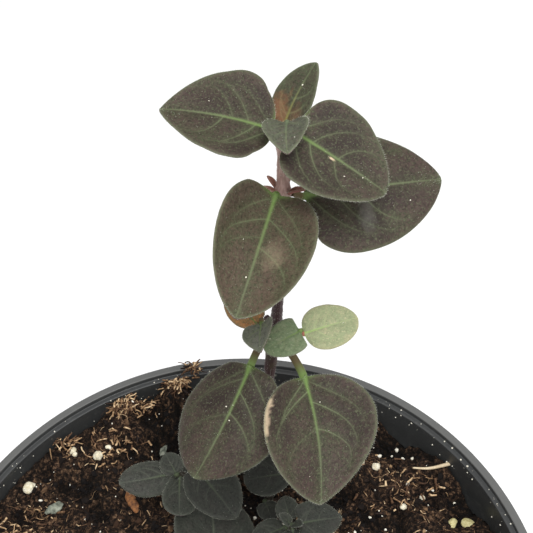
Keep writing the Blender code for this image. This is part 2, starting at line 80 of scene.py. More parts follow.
# Pot, its height and lip as packed
POT_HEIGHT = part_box("pot")[1].z / MM
LIP_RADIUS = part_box("pot")[1].x / MM
LIP_BAND = 1.6
LIP_DROP = 1.1
LEDGE_RADIUS = 51.4
COLLAR_DEPTH = 9.5
SHOULDER_RADIUS = 52.4
BASE_RADIUS = 38.0
FOOT_WIDTH = 6.0
WALL = 1.2
SHEET = 1.4
CENTRE_PAD_RADIUS = 12.0
FLOOR_RISE = 2.4
DRAIN_HOLES = 8
DRAIN_RADIUS = 3.0
DRILL_DEPTH = 10.0
POT_SEGMENTS = 192
ROUND_STEPS = 5
SHARP_ANGLE = 50

# Potting mix
GAP = 0.3
MIX_LEVEL = 84.0
CRUMB_SIZE = 4.5
CRUMB_RELIEF = 0.9
STEM_FOOT = 72.0
HOLLOW_DROP = 4.0
HOLLOW_LIMIT = 0.45
PIT_SHARE = 0.42
MIX_CELLS = 260
CRUMBS = 5400
BITS = 5600
FIBRES = 900
WHITE_SPECKS = 420
LOOSE_GRAINS = 46
STRAW = ((35.0, 29.3), (38.3, 29.0), (42.4, 29.8))

# Leaf blades: thickness, the grids of a large, a small and a low leaf and of a bud, the lengths over which a
# leaf is large and its midrib has its full width, and the relief of veins
BLADE = 0.3
LARGE_GRID = (100, 36)
SMALL_GRID = (56, 20)
LOW_GRID = (44, 16)
BUD_GRID = (18, 7)
LARGE_MAIN_LEAF = 10.0
LARGE_LOW_LEAF = 12.0
FULL_RIB_LEAF = 12.0
STALK_ROWS = 16
HEEL_START = 0.08
TIP_HALF_WIDTH = 0.08
QUILT = 0.14
RIB_GROOVE = 0.1
VEIN_GROOVE = 0.05
VEIN_WIDTH = 0.13

# Pairs of side veins: where along the midrib they start, how far forward they reach and their least strength
VEIN_PAIRS = ((0.015, 0.44, 0.25), (0.17, 0.42, 0.4), (0.42, 0.34, 0.15))

# Hairs: radius, spacing and lengths on leaves, how many a square millimetre of blade, and how many a stem
HAIR_RADIUS = 0.02
FRINGE_SPACING = 0.16
FRINGE_LENGTHS = (0.15, 0.36)
FACE_HAIR_LENGTHS = (0.12, 0.32)
FACE_HAIRS = 0.385
BUD_FACE_HAIRS = 2.8
STEM_HAIRS = 1500
TWIG_HAIRS = 160
SHOOT_HAIRS = 240

# Stems: sides of their tubes, how far their hairs reach, the twigs' radii and the swelling of the joints
STEM_SIDES = 20
TWIG_SIDES = 14
STEM_HAIR_REACH = 0.55
TWIG_HAIR_REACH = 0.4
TWIG_RADII = (0.55, 0.42)
KNOT_SWELL = 0.28
KNOT_REACH = 0.9

# Guard against dividing by a zero length, and how upright a path is before its sides are set by +X
TINY = 1e-9
STEEP = 0.9

Swell = namedtuple("Swell", "x y rise spread")
Pit = namedtuple("Pit", "x y spread")
Grain = namedtuple("Grain", "kind x y size length turn")
Clump = namedtuple("Clump", "place spread count")
Blot = namedtuple("Blot", "t v length width strength edge")
Shoot = namedtuple("Shoot", "foot top radius shade leaves")
Leaf = namedtuple(
    "Leaf",
    "base heading pitch roll length width bend cup lobe rise fall sweep foot stalk",
    defaults=(0.04, 0.45, 0.65, 0.0, None, 0.5),
)
Look = namedtuple("Look", "green bronze share rib vein edge stalk under grain dusk", defaults=(0.8, 0.95))
Chart = namedtuple("Chart", "t v u w half seed aside power nearest")

# Heaps and hollows of the mix: where they lie, how far they rise and how wide they spread
SWELLS = (
    Swell(-20, 45, 3.5, 4.0),
    Swell(-11, 48, 4.5, 3.0),
    Swell(-33, 37, 2.5, 5.0),
    Swell(27, 29, 1.2, 8.0),
    Swell(-12, 39, -5.0, 4.5),
    Swell(32, 37, -3.0, 5.0),
    Swell(44, 22, -2.5, 6.0),
    Swell(6, 44, -4.0, 7.0),
    Swell(4, 24, -2.5, 7.0),
)

# Dark pits that reach down between the crumbs
PITS = (
    Pit(-12, 39, 4.0),
    Pit(-13, 44, 3.2),
    Pit(-19.5, 38, 2.6),
    Pit(-27.5, 29.5, 3.0),
    Pit(-24, 24, 2.4),
    Pit(6, 44, 6.0),
    Pit(4, 24, 5.0),
    Pit(20, 26, 3.5),
    Pit(26.5, 19.5, 2.6),
    Pit(34, 37, 4.5),
    Pit(38, 34, 2.8),
    Pit(44, 22, 3.5),
    Pit(-33, 8, 3.0),
    Pit(15, -12, 3.5),
    Pit(-12, -26, 3.0),
    Pit(30, -22, 3.2),
)

# Perlite grains, flakes and chips that show in the mix
GRAINS = (
    Grain("perlite", -25.5, 36.0, 0.95, 1.0, 0),
    Grain("perlite", -38.2, 29.6, 1.2, 1.0, 60),
    Grain("chip", -33.0, 25.0, 1.1, 1.6, 30),
    Grain("bark", -18.6, 26.0, 1.0, 2.6, 115),
    Grain("perlite", 28.0, 29.5, 0.8, 1.0, 0),
    Grain("perlite", 25.2, 31.0, 0.8, 1.0, 0),
    Grain("perlite", 36.3, 24.4, 0.6, 1.0, 0),
    Grain("perlite", 32.4, 22.0, 0.6, 1.1, 20),
    Grain("flake", 44.3, 19.0, 1.1, 1.3, 150),
    Grain("flake", 41.0, 18.2, 0.8, 1.3, 60),
    Grain("perlite", -29.9, 36.2, 0.5, 1.0, 0),
    Grain("perlite", -30.4, 37.2, 0.6, 1.3, 40),
    Grain("perlite", -23.6, 38.0, 0.45, 1.4, 0),
    Grain("chip", -13.5, 40.5, 0.7, 2.2, 70),
)

# Golden bits of coir heaped against the wall, on the lip and on the mix
CLUMPS = (
    Clump((-20.2, 46.0, 87.6), (2.1, 1.4, 1.2), 120),
    Clump((-16.0, 45.4, 87.2), (1.8, 1.0, 0.6), 36),
    Clump((-10.0, 49.4, 88.6), (1.9, 1.1, 1.2), 120),
    Clump((-6.6, 51.6, 90.7), (1.3, 0.8, 0.4), 40),
    Clump((-32.0, 38.2, 86.6), (2.2, 1.2, 0.5), 44),
    Clump((33.0, 24.8, 84.8), (7.0, 5.0, 0.4), 38),
    Clump((22.0, 31.5, 85.6), (3.0, 2.0, 0.4), 24),
    Clump((-22.0, 38.0, 85.0), (6.0, 3.4, 0.4), 50),
    Clump((-40.0, 20.0, 84.6), (5.0, 4.0, 0.4), 60),
)

# Centre line and radius of the main stem, from inside the mix to just under the tip leaves
MAIN_STEM = (
    ((6.0, 29.2, STEM_FOOT), 1.1),
    ((6.0, 29.2, 84.0), 1.1),
    ((6.4, 28.5, 91.0), 1.05),
    ((7.2, 25.3, 104.0), 1.0),
    ((8.0, 21.2, 119.0), 0.95),
    ((8.9, 17.6, 133.0), 0.8),
    ((9.95, 15.2, 146.0), 0.95),
    ((10.6, 15.0, 152.0), 0.7),
    ((11.3, 15.9, 160.0), 0.65),
    ((12.0, 18.0, 170.7), 0.8),
    ((12.2, 19.4, 176.6), 0.6),
    ((12.3, 19.8, 178.0), 0.5),
)
LOWER_NODE = Vector((9.95, 15.2, 146.0))
MIDDLE_NODE = Vector((12.0, 18.0, 170.7))
UPPER_NODE = Vector((12.3, 19.6, 177.2))

# Side twigs that carry the small leaves, each from the lower node to its end
SIDE_TWIGS = (
    (LOWER_NODE, Vector((11.6, 12.8, 149.0)), Vector((13.15, 10.55, 151.75))),
    (LOWER_NODE, Vector((9.5, 12.7, 149.9)), Vector((9.1, 10.8, 154.8))),
)
BUDS = ((200, 42, 2.6), (150, 60, 2.0), (325, 42, 2.8), (60, 55, 2.0))

# Leaves of the main shoot, in opposite pairs from the tip down, then the small leaves of its twigs
MAIN_LEAVES = {
    "tip_leaf_back": Leaf(
        (12.6, 22.5, 177.85), 40.7, 61.5, 2.6, 8.7, 5.8, 14, 9, 0.09, 0.35, 0.66, -0.08,
        foot=(12.45, 20.8, 177.3), stalk=0.4,
    ),
    "tip_leaf_front": Leaf(
        (12.8, 18.3, 181.7), -96.3, 32.7, 5.7, 7.6, 5.75, 40, 20, 0.07, 0.57, 0.77, 0.03,
        foot=(12.5, 19.4, 179.2), stalk=0.4,
    ),
    "upper_leaf_left": Leaf(
        (11.1, 18.9, 180.2), 170, 21, -10, 13.6, 13.5, 8, 11, -0.07, 0.40, 0.79, 0.14,
        foot=UPPER_NODE + Vector((-0.9, -0.5, 1.3)),
    ),
    "upper_leaf_right": Leaf(
        (13.5, 17.8, 180.75), -29.4, -19.8, 10.4, 13.35, 13.25, 15.4, 10, 0.0, 0.28, 0.67, 0.03,
        foot=UPPER_NODE + Vector((1.1, -1.3, 0.9)),
    ),
    "middle_leaf_front": Leaf(
        (11.0, 16.0, 172.1), -105.4, 0, -20.7, 18.3, 13.6, 15.5, 27, 0.04, 0.42, 0.57, 0.01,
        foot=MIDDLE_NODE + Vector((-0.6, -1.55, 0.5)),
    ),
    "middle_leaf_right": Leaf(
        (14.9, 19.9, 167.9), 6.8, 0.9, 25.6, 18.7, 16.7, 16.7, -7.6, 0.03, 0.34, 0.63, 0.02,
        foot=MIDDLE_NODE + Vector((1.1, 0.7, -0.9)),
    ),
    "lower_leaf_left": Leaf(
        (6.4, 11.0, 144.3), -120, -31, 4, 17.3, 15.5, 5, -14, 0.06, 0.64, 0.68, -0.1,
        foot=LOWER_NODE + Vector((-1.4, -1.0, 0.3)), stalk=0.55,
    ),
    "lower_leaf_right": Leaf(
        (13.7, 9.7, 142.6), -75.4, -14.6, -12.4, 17.6, 17.3, 13.5, 15.6, 0.02, 0.58, 0.78, -0.16,
        foot=LOWER_NODE + Vector((1.1, -1.3, -0.6)), stalk=0.6,
    ),
    "side_leaf_pale": Leaf(
        (13.9, 10.0, 152.0), 14.6, 6.2, 9, 7.6, 6.8, 10, -1, 0.0, 0.37, 0.51,
        foot=(13.6, 9.95, 152.1), stalk=0.35,
    ),
    "side_leaf_green": Leaf(
        (13.3, 9.0, 153.8), -158.8, -10.2, -5.7, 5.3, 5.5, 10, -0.5, 0.09, 0.24, 0.54,
        foot=(13.15, 9.85, 152.85), stalk=0.35,
    ),
    "side_leaf_grey": Leaf(
        (8.3, 9.2, 155.6), -98, 5, 34, 4.6, 5.1, 16, 17, 0.09, 0.45, 0.95,
        foot=(8.4, 9.9, 155.6), stalk=0.35,
    ),
    "side_leaf_orange": Leaf(
        (7.7, 10.7, 153.7), 132, 18, 0, 5.8, 5.0, 12, 8, 0.03, 0.4, 0.6,
        foot=(7.95, 10.6, 153.7), stalk=0.3,
    ),
}

# Low leafy shoots that rise from the mix round the main stem, each with the share it keeps of its colours as
# painted shade
BASAL_SHOOTS = {
    "basal_shoot_left": Shoot(
        (-7.5, 27.0), (-8.6, 24.2, 95.5), 0.8, 0.92,
        (
            Leaf((-9.2, 24.3, 96.0), 198, 7, -14, 10.0, 6.7, 8, -6, 0.02, 0.55, 0.6, -0.1),
            Leaf((-8.9, 23.8, 96.4), 118, 20, -9, 4.4, 4.2, 20, 4),
            Leaf((-8.4, 23.6, 95.3), -91, 5, -10, 7.8, 6.1, 4, 6, 0.08, 0.65, 0.4, 0.04),
            Leaf((-7.8, 26.4, 89.0), 60, 12, 0, 6.0, 4.6, 15, 6),
        ),
    ),
    "basal_shoot_middle": Shoot(
        (-3.0, 28.5), (-5.4, 22.8, 101.5), 0.85, 0.56,
        (
            Leaf((-5.0, 21.5, 102.0), -54, -4, 1, 11.7, 9.1, 11, 4, 0.06, 0.51, 0.67),
            Leaf((-5.2, 23.8, 102.0), 88, 14, 0, 6.0, 5.0, 14, 6),
            Leaf((-3.6, 26.6, 94.0), 38, 8, 0, 8.0, 6.4, 14, 6),
        ),
    ),
    "basal_shoot_centre": Shoot(
        (7.0, 21.0), (10.4, 22.1, 96.6), 0.7, 0.5,
        (
            Leaf((11.2, 22.2, 97.0), 185, 2, 0, 8.0, 8.4, 12, 6, 0.06, 0.55, 0.55),
            Leaf((6.7, 20.2, 90.8), -72, 0, 0, 4.0, 4.0, 12, 6),
            Leaf((8.8, 23.5, 95.0), 40, 10, 0, 6.0, 4.8, 14, 6),
        ),
    ),
    "basal_shoot_right": Shoot(
        (11.5, 13.5), (11.2, 12.6, 95.5), 0.8, 0.8,
        (
            Leaf((12.4, 12.4, 96.6), 8, 1, 14, 7.9, 6.9, 24, 4, 0.14, 0.36, 0.72),
            Leaf((9.9, 13.1, 94.2), 202, 5, 0, 6.2, 5.2, 11, 5),
            Leaf((10.9, 13.5, 96.0), 101, 12, -10, 4.6, 4.0, 16, 7, 0.07, 0.5, 0.7),
            Leaf((11.3, 11.7, 95.6), -84, 16, 0, 6.0, 4.8, 16, 8),
            Leaf((10.9, 12.4, 96.8), 150, 50, 0, 2.6, 2.0, 20, 12, stalk=0.35),
            Leaf((11.5, 12.2, 96.8), -40, 50, 0, 2.6, 2.0, 20, 12, stalk=0.35),
        ),
    ),
    "basal_shoot_front": Shoot(
        (-3.0, 3.0), (-2.8, 5.2, 92.5), 0.9, 0.85,
        (
            Leaf((-2.6, 6.6, 91.8), 88, 3, 16, 16.4, 14.6, 16, 8, 0.04, 0.56, 0.64, 0.05),
            Leaf((-3.0, 3.8, 92.4), -94, 6, 0, 12.0, 9.6, 16, 8),
            Leaf((-1.6, 5.0, 93.6), 4, 20, 0, 5.6, 4.2, 14, 8),
            Leaf((-4.0, 5.0, 93.6), 182, 20, 0, 6.0, 4.6, 14, 8),
        ),
    ),
}

# Leaf colours: blade where green and where bronze, how much is bronze, midrib, side veins, margin, stalk and
# underside, then how strong the dark grain and the dark patches are
BRONZE = Look(
    (0.038, 0.044, 0.021), (0.054, 0.034, 0.029), 0.70, (0.12, 0.19, 0.052), (0.13, 0.155, 0.080),
    (0.12, 0.14, 0.08), (0.10, 0.075, 0.035), (0.12, 0.075, 0.075),
)
LOOKS = {
    "middle_leaf_front": BRONZE._replace(green=(0.050, 0.055, 0.027), bronze=(0.074, 0.050, 0.036), dusk=0.3),
    "upper_leaf_left": BRONZE._replace(dusk=0.8),
    "tip_leaf_back": BRONZE._replace(
        green=(0.055, 0.062, 0.034), share=0.45, rib=(0.20, 0.18, 0.05), dusk=0.3
    ),
    "tip_leaf_front": BRONZE._replace(
        green=(0.080, 0.085, 0.060), share=0.2, rib=(0.10, 0.13, 0.07), dusk=0.3
    ),
    "side_leaf_pale": Look(
        (0.22, 0.25, 0.14), (0.27, 0.24, 0.15), 0.35, (0.24, 0.36, 0.11), (0.31, 0.36, 0.18),
        (0.34, 0.31, 0.17), (0.30, 0.12, 0.08), (0.34, 0.32, 0.24), 0.4, 0.0,
    ),
    "side_leaf_green": BRONZE._replace(
        green=(0.105, 0.145, 0.075), bronze=(0.14, 0.145, 0.095), share=0.35, grain=0.5, dusk=0.0
    ),
    "side_leaf_grey": BRONZE._replace(
        green=(0.115, 0.122, 0.095), bronze=(0.10, 0.085, 0.07), share=0.2, dusk=0.2
    ),
    "side_leaf_orange": BRONZE._replace(
        green=(0.30, 0.17, 0.07), bronze=(0.38, 0.15, 0.05), share=0.6, dusk=0.0
    ),
}
BASAL_LOOK = Look(
    (0.035, 0.039, 0.031), (0.042, 0.037, 0.032), 0.4, (0.080, 0.105, 0.055), (0.085, 0.095, 0.070),
    (0.095, 0.105, 0.082), (0.050, 0.042, 0.032), (0.07, 0.055, 0.055), 0.8, 0.3,
)
BUD_LOOK = Look(
    (0.20, 0.09, 0.065), (0.27, 0.09, 0.07), 0.7, (0.22, 0.13, 0.09), (0.20, 0.11, 0.08),
    (0.34, 0.20, 0.15), (0.20, 0.09, 0.075), (0.22, 0.09, 0.075), 0.5, 0.0,
)

# Dry, faded and orange blots on the blades, and a painted sheen on the middle right leaf: place along and
# across the blade, half its length and width, how strong it is and how sharp its edge
BLOTS = {
    "lower_leaf_right": (Blot(0.30, -1.0, 3.0, 0.9, 0.95, 2.4),),
    "middle_leaf_front": (Blot(0.50, 0.30, 2.4, 1.8, 0.2, 0.8),),
    "upper_leaf_right": (Blot(0.42, -0.07, 0.4, 0.13, 1.0, 2.4),),
    "middle_leaf_right": (Blot(0.40, -0.42, 1.3, 3.0, 0.42, 0.7),),
    "tip_leaf_back": (Blot(0.05, 0.5, 3.8, 1.9, 0.8, 0.6), Blot(0.15, -0.4, 2.6, 1.4, 0.3, 0.6)),
}
DRY = (0.52, 0.40, 0.27)
# Other blot colours: young orange on the back tip leaf, and a pale grey painted sheen, a highlight, on the
# middle right leaf
BLOT_COLOURS = {"tip_leaf_back": (0.36, 0.14, 0.065), "middle_leaf_right": (0.24, 0.235, 0.21)}
SLOTS = {
    "tip_leaf_back": "leaf_tip",
    "tip_leaf_front": "leaf_tip",
    "side_leaf_pale": "leaf_pale",
    "side_leaf_green": "leaf_green",
    "side_leaf_grey": "leaf_grey",
    "side_leaf_orange": "leaf_orange",
}

# What a leaf's finish reads on the stem of a low shoot
STEM_VALUES = dict.fromkeys(("rib", "vein", "vein_gap", "margin", "near", "under", "blot", "dusk"), 0.0)
STEM_VALUES.update(stalk=1.0, tip=-1.0)

# Grains by kind: both colours of their mottling, roughness and the size of the mottling, then their thickness
GRAIN_LOOKS = {
    "perlite": ((0.60, 0.52, 0.33), (0.84, 0.80, 0.66), 0.85, 0.5),
    "flake": ((0.42, 0.36, 0.14), (0.62, 0.58, 0.32), 0.5, 0.4),
    "chip": ((0.07, 0.08, 0.06), (0.32, 0.34, 0.27), 0.8, 0.9),
    "bark": ((0.09, 0.032, 0.014), (0.36, 0.15, 0.045), 0.8, 0.6),
}
GRAIN_THICKNESS = {"perlite": 0.85, "flake": 0.6, "chip": 0.5, "bark": 0.45}

# Stage, in metres: the floor, the light from all round, and the lamps with name, place, size and power
FLOOR_RADIUS = 4.0
SKY_STRENGTH = 0.7
LAMP_AIM = Vector((0.0, 0.01, 0.10))
LAMPS = (
    ("key_light", (0.04, -0.22, 0.64), 0.22, 3.4),
    ("fill_light", (0.45, 0.10, 0.45), 0.5, 0.8),
)


class Finish:
    """A Principled material with its colour and bump built from nodes."""

    def __init__(self, name, roughness, **sockets):
        self.material = bpy.data.materials.new(name)
        self.material.use_nodes = True
        self.tree = self.material.node_tree
        self.shader = self.tree.nodes["Principled BSDF"]
        self.shader.inputs["Roughness"].default_value = roughness
        for socket, value in sockets.items():
            self.shader.inputs[socket.replace("_", " ")].default_value = value

    def feed(self, socket, value):
        if isinstance(value, bpy.types.NodeSocket):
            self.tree.links.new(value, socket)
        elif socket.type == "RGBA":
            socket.default_value = (*value, 1.0)
        else:
            socket.default_value = value

    def node(self, kind, inputs, **settings):
        made = self.tree.nodes.new("ShaderNode" + kind)
        for key, value in settings.items():
            setattr(made, key, value)
        for key, value in inputs.items():
            self.feed(made.inputs[key], value)
        return made

    def mix(self, share, first, second):
        return self.node("Mix", {0: share, 6: first, 7: second}, data_type="RGBA").outputs[2]

    def value(self, name):
        return self.node("Attribute", {}, attribute_name=name).outputs["Fac"]

    def flat(self):
        return self.node("Attribute", {}, attribute_name="flat").outputs["Vector"]

    def place(self):
        """Place on the object, in millimetres."""
        where = self.node("TexCoord", {}).outputs["Object"]
        return self.node("VectorMath", {0: where, "Scale": 1 / MM}, operation="SCALE").outputs[0]

    def height(self, place):
        return self.node("SeparateXYZ", {0: place}).outputs["Z"]

    def noise(self, place, size, detail=3.0, roughness=0.5):
        inputs = {"Vector": place, "Scale": 1 / size, "Detail": detail, "Roughness": roughness}
        return self.node("TexNoise", inputs).outputs["Fac"]

    def cells(self, place, size, feature):
        inputs = {"Vector": place, "Scale": 1 / size}
        return self.node("TexVoronoi", inputs, feature=feature).outputs["Distance"]

    def span(self, value, low, high, start=0.0, end=1.0):
        inputs = {"Value": value, "From Min": low, "From Max": high, "To Min": start, "To Max": end}
        return self.node("MapRange", inputs).outputs["Result"]

    def maths(self, operation, first, second):
        return self.node("Math", {0: first, 1: second}, operation=operation).outputs[0]

    def times(self, first, second):
        return self.maths("MULTIPLY", first, second)

    def blend(self, colour, other, value, low, high, start, end):
        """The colour with a share of another, from start to end as the value goes from low to high."""
        return self.mix(self.span(value, low, high, start, end), colour, other)

    def ramp(self, value, stops):
        made = self.node("ValToRGB", {"Fac": value})
        band = made.color_ramp.elements
        while len(band) < len(stops):
            band.new(0.5)
        for element, (position, colour) in zip(band, stops):
            element.position = position
            element.color = (*colour, 1.0)
        return made.outputs["Color"]

    def bump(self, height, distance):
        inputs = {"Height": height, "Distance": distance * MM, "Strength": 1.0}
        self.feed(self.shader.inputs["Normal"], self.node("Bump", inputs).outputs["Normal"])

    def done(self, colour, roughness=None):
        self.feed(self.shader.inputs["Base Color"], colour)
        if roughness is not None:
            self.feed(self.shader.inputs["Roughness"], roughness)
        return self.material


def add_object(name, data):
    made = bpy.data.objects.new(name, data)
    bpy.context.scene.collection.objects.link(made)
    return made


def mesh_of(name, shape):
    """Mesh of an edit mesh, which is freed."""
    mesh = bpy.data.meshes.new(name)
    shape.to_mesh(mesh)
    shape.free()
    return mesh


def add_piece(name, points, faces, finish, slot=None, node=None, values=None, smooth=True):
    """Makes a mesh piece from points in millimetres, with a value or vector at each point for its finish."""
    mesh = bpy.data.meshes.new(name)
    mesh.from_pydata((np.asarray(points, float) * MM).tolist(), [], faces)
    for key, value in (values or {}).items():
        value = np.asarray(value, np.float32)
        kind, field = ("FLOAT_VECTOR", "vector") if value.ndim == 2 else ("FLOAT", "value")
        mesh.attributes.new(key, kind, "POINT").data.foreach_set(field, value.ravel())
    mesh.materials.append(finish)
    if smooth:
        mesh.shade_smooth()
    piece = add_object(name, mesh)
    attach(piece, "root")
    if node:
        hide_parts(node)


class Body:
    """Gathers the points, faces and values of the parts that make one piece."""

    def __init__(self):
        self.points = []
        self.faces = []
        self.values = {}
        self.count = 0

    def add(self, points, faces, **values):
        """Adds points, faces of any number of corners, and values: one number each, or one for each point."""
        points = np.asarray(points, float).reshape(-1, 3)
        self.points.append(points)
        self.faces += [[corner + self.count for corner in face] for face in faces]
        for key, value in values.items():
            value = np.asarray(value, float)
            shape = (len(points), 3) if value.ndim and value.shape[-1] == 3 else (len(points),)
            self.values.setdefault(key, []).append(np.broadcast_to(value, shape))
        self.count += len(points)

    def finish(self, name, finish, slot=None, node=None):
        values = {key: np.concatenate(value) for key, value in self.values.items()}
        add_piece(name, np.concatenate(self.points), self.faces, finish, slot, node, values)


def ring_faces(rings, around):
    """Quads between closed rings of points, numbered ring by ring."""
    index = np.arange(rings * around).reshape(rings, around)
    ahead = np.roll(index, -1, axis=1)
    return np.stack([index[:-1], ahead[:-1], ahead[1:], index[1:]], axis=-1).reshape(-1, 4)


def on_circle(radius, turns):
    """Points at the turns on a circle, as x and y."""
    return radius * np.cos(turns), radius * np.sin(turns)


def unit(vectors, guard=0.0):
    """The vectors at length 1; the guard is added to their lengths where some may be zero."""
    return vectors / (np.linalg.norm(vectors, axis=-1, keepdims=True) + guard)


def spokes_round(ahead, sides, guard=0.0):
    """Unit spokes square to the way ahead at each point of some paths, even round it and without twist."""
    ahead = unit(ahead, guard)
    helper = np.where(np.abs(ahead[:, :1, 2:]) > STEEP, (1.0, 0.0, 0.0), (0.0, 0.0, 1.0))
    side = unit(np.cross(ahead, helper), guard)
    other = np.cross(ahead, side)
    x, y = (share[:, None] for share in on_circle(1, 2 * math.pi * np.arange(sides) / sides))
    return side[:, :, None] * x + other[:, :, None] * y


def threads(paths, radii, sides=3):
    """Tubes along many paths of the same number of points: their points, and faces closed at both ends."""
    count, length = paths.shape[:2]
    spokes = spokes_round(np.gradient(paths, axis=1), sides, TINY)
    points = paths[:, :, None] + spokes * radii[:, :, None, None]
    starts = (np.arange(count) * length * sides)[:, None, None]
    faces = (ring_faces(length, sides) + starts).reshape(-1, 4).tolist()
    first = np.arange(sides)[::-1]
    last = np.arange(sides) + (length - 1) * sides
    faces += (np.stack([first, last]) + starts).reshape(-1, sides).tolist()
    return points.reshape(-1, 3), faces


def hair_cones(roots, tips):
    """Fine three-sided hairs from each root to its tip."""
    corners = roots[:, None] + HAIR_RADIUS * spokes_round((tips - roots)[:, None], 3)[:, 0]
    points = np.concatenate([corners, tips[:, None]], axis=1).reshape(-1, 3)
    shape = np.array([(0, 1, 3), (1, 2, 3), (2, 0, 3), (0, 2, 1)])
    faces = (shape + 4 * np.arange(len(roots))[:, None, None]).reshape(-1, 3)
    return points, faces.tolist()


def unit_lump(level):
    """Points and triangles of a ball of radius 1."""
    shape = bmesh.new()
    bmesh.ops.create_icosphere(shape, subdivisions=level, radius=1)
    points = np.array([vert.co[:] for vert in shape.verts])
    faces = np.array([[vert.index for vert in face.verts] for face in shape.faces])
    shape.free()
    return points, faces


def lumps(draw, places, sizes, stretch, rough=0.25):
    """Irregular lumps at the places, turned at random: their points and faces."""
    ball, faces = unit_lump(1)
    count = len(places)
    turns = np.linalg.qr(draw.normal(size=(count, 3, 3)))[0]
    turns *= np.sign(np.linalg.det(turns))[:, None, None]
    shapes = ball * (1 + rough * draw.uniform(-1, 1, (count, len(ball), 1)))
    shapes = shapes * draw.uniform(1 - stretch, 1 + stretch, (count, 1, 3))
    points = np.einsum("nij,nkj->nki", turns, shapes) * sizes[:, None, None] + places[:, None]
    faces = faces + (np.arange(count) * len(ball))[:, None, None]
    return points.reshape(-1, 3), faces.reshape(-1, 3).tolist()


def spline(points, steps):
    """Smooth line through the points, each a row of any size, with a few steps a span."""
    points = np.asarray(points, float)
    line = []
    for i in range(len(points) - 1):
        before, start = points[max(i - 1, 0)], points[i]
        end, after = points[i + 1], points[min(i + 2, len(points) - 1)]
        for t in np.arange(steps) / steps:
            line.append(
                0.5 * (
                    2 * start
                    + (end - before) * t
                    + (2 * before - 5 * start + 4 * end - after) * t ** 2
                    + (3 * start - before - 3 * end + after) * t ** 3
                )
            )
    line.append(points[-1])
    return np.array(line)


def rounded(corners):
    """Profile through (radius, height, rounding) corners, each corner rounded by a short curve."""
    line = []
    for i, (radius, height, rounding) in enumerate(corners):
        corner = np.array((radius, height), float)
        if not rounding or i in (0, len(corners) - 1):
            line.append(corner)
            continue
        before = np.array(corners[i - 1][:2]) - corner
        after = np.array(corners[i + 1][:2]) - corner
        start = corner + before * min(0.45, rounding / np.linalg.norm(before))
        end = corner + after * min(0.45, rounding / np.linalg.norm(after))
        for t in np.linspace(0, 1, ROUND_STEPS):
            line.append(start * (1 - t) ** 2 + corner * 2 * t * (1 - t) + end * t * t)
    return line


def wall_outer(height):
    shoulder_height = POT_HEIGHT - COLLAR_DEPTH
    return BASE_RADIUS + (SHOULDER_RADIUS - BASE_RADIUS) * height / shoulder_height


def wall_inner(height):
    return min(wall_outer(height) - WALL, LEDGE_RADIUS)


def pot_profile():
    """Corners of the pot's section, up the inside and down the outside."""
    shoulder = POT_HEIGHT - COLLAR_DEPTH
    ledge = POT_HEIGHT - LIP_DROP
    lip_inner = LIP_RADIUS - LIP_BAND
    foot_inner = BASE_RADIUS - FOOT_WIDTH
    kink = (LEDGE_RADIUS + WALL - BASE_RADIUS) / (SHOULDER_RADIUS - BASE_RADIUS) * shoulder
    return (
        (0, SHEET, 0),
        (CENTRE_PAD_RADIUS + 0.5, SHEET, 0.5),
        (CENTRE_PAD_RADIUS + 2.5, SHEET + FLOOR_RISE, 0.5),
        (foot_inner - 3, SHEET + FLOOR_RISE, 0.5),
        (foot_inner - 1, SHEET, 0.5),
        (wall_inner(SHEET) - 0.6, SHEET, 1),
        (wall_inner(3), 3, 1),
        (LEDGE_RADIUS, kink, 2),
        (LEDGE_RADIUS, ledge, 0.25),
        (lip_inner, ledge, 0.2),
        (lip_inner, POT_HEIGHT, 0.25),
        (LIP_RADIUS, POT_HEIGHT, 0.45),
        (LIP_RADIUS, shoulder, 0.4),
        (SHOULDER_RADIUS, shoulder, 0.4),
        (wall_outer(shoulder - 1), shoulder - 1, 1),
        (wall_outer(1), 1, 0.6),
        (BASE_RADIUS - 0.8, 0, 0.5),
        (foot_inner, 0, 0.5),
        (foot_inner - 2, FLOOR_RISE, 0.5),
        (CENTRE_PAD_RADIUS + 2, FLOOR_RISE, 0.5),
        (CENTRE_PAD_RADIUS, 0, 0.5),
        (0, 0, 0),
    )


def pot_finish():
    look = Finish("pot_plastic", 0.42, Specular_IOR_Level=0.5)
    place = look.place()
    cloudy = look.noise(place, 14, 4)
    grain = look.noise(place, 0.35, 2)
    dust = look.span(look.noise(place, 1.6, 6, 0.75), 0.55, 0.78, 0.0, 0.35)
    base = look.mix(cloudy, (0.027, 0.029, 0.030), (0.040, 0.041, 0.040))
    # Painted light: the lip's top face is lighter grey than the rest of the same plastic, as where overhead
    # light falls on it
    on_lip = look.span(look.height(place), POT_HEIGHT - 0.4, POT_HEIGHT)
    base = look.mix(on_lip, base, (0.088, 0.089, 0.086))
    look.bump(grain, 0.02)
    rough = look.span(cloudy, 0.3, 0.7, 0.36, 0.5)
    return look.done(look.mix(dust, base, (0.13, 0.13, 0.12)), rough)


def build_pot():
    """The pot turned from its rounded section, with its drain holes cut through the floor ring."""
    profile = rounded(pot_profile())
    circle = np.stack(on_circle(1, 2 * math.pi * np.arange(POT_SEGMENTS) / POT_SEGMENTS), axis=1)
    shape = bmesh.new()
    rings = []
    for radius, height in profile:
        if radius == 0:
            rings.append([shape.verts.new((0, 0, height * MM))])
        else:
            rings.append([shape.verts.new((*(spoke * radius * MM), height * MM)) for spoke in circle])
    for lower, upper in zip(rings, rings[1:]):
        for i in range(POT_SEGMENTS):
            j = (i + 1) % POT_SEGMENTS
            corners = [ring[k % len(ring)] for ring, k in ((lower, i), (lower, j), (upper, j), (upper, i))]
            shape.faces.new(dict.fromkeys(corners))
    bmesh.ops.recalc_face_normals(shape, faces=shape.faces)
    pot = add_object("pot_wall", mesh_of("pot_wall", shape))
    drill_drain_holes(pot)
    pot.data.materials.append(pot_finish())
    pot.data.shade_smooth()
    pot.data.set_sharp_from_angle(angle=math.radians(SHARP_ANGLE))
    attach(pot, "root")
    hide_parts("pot")


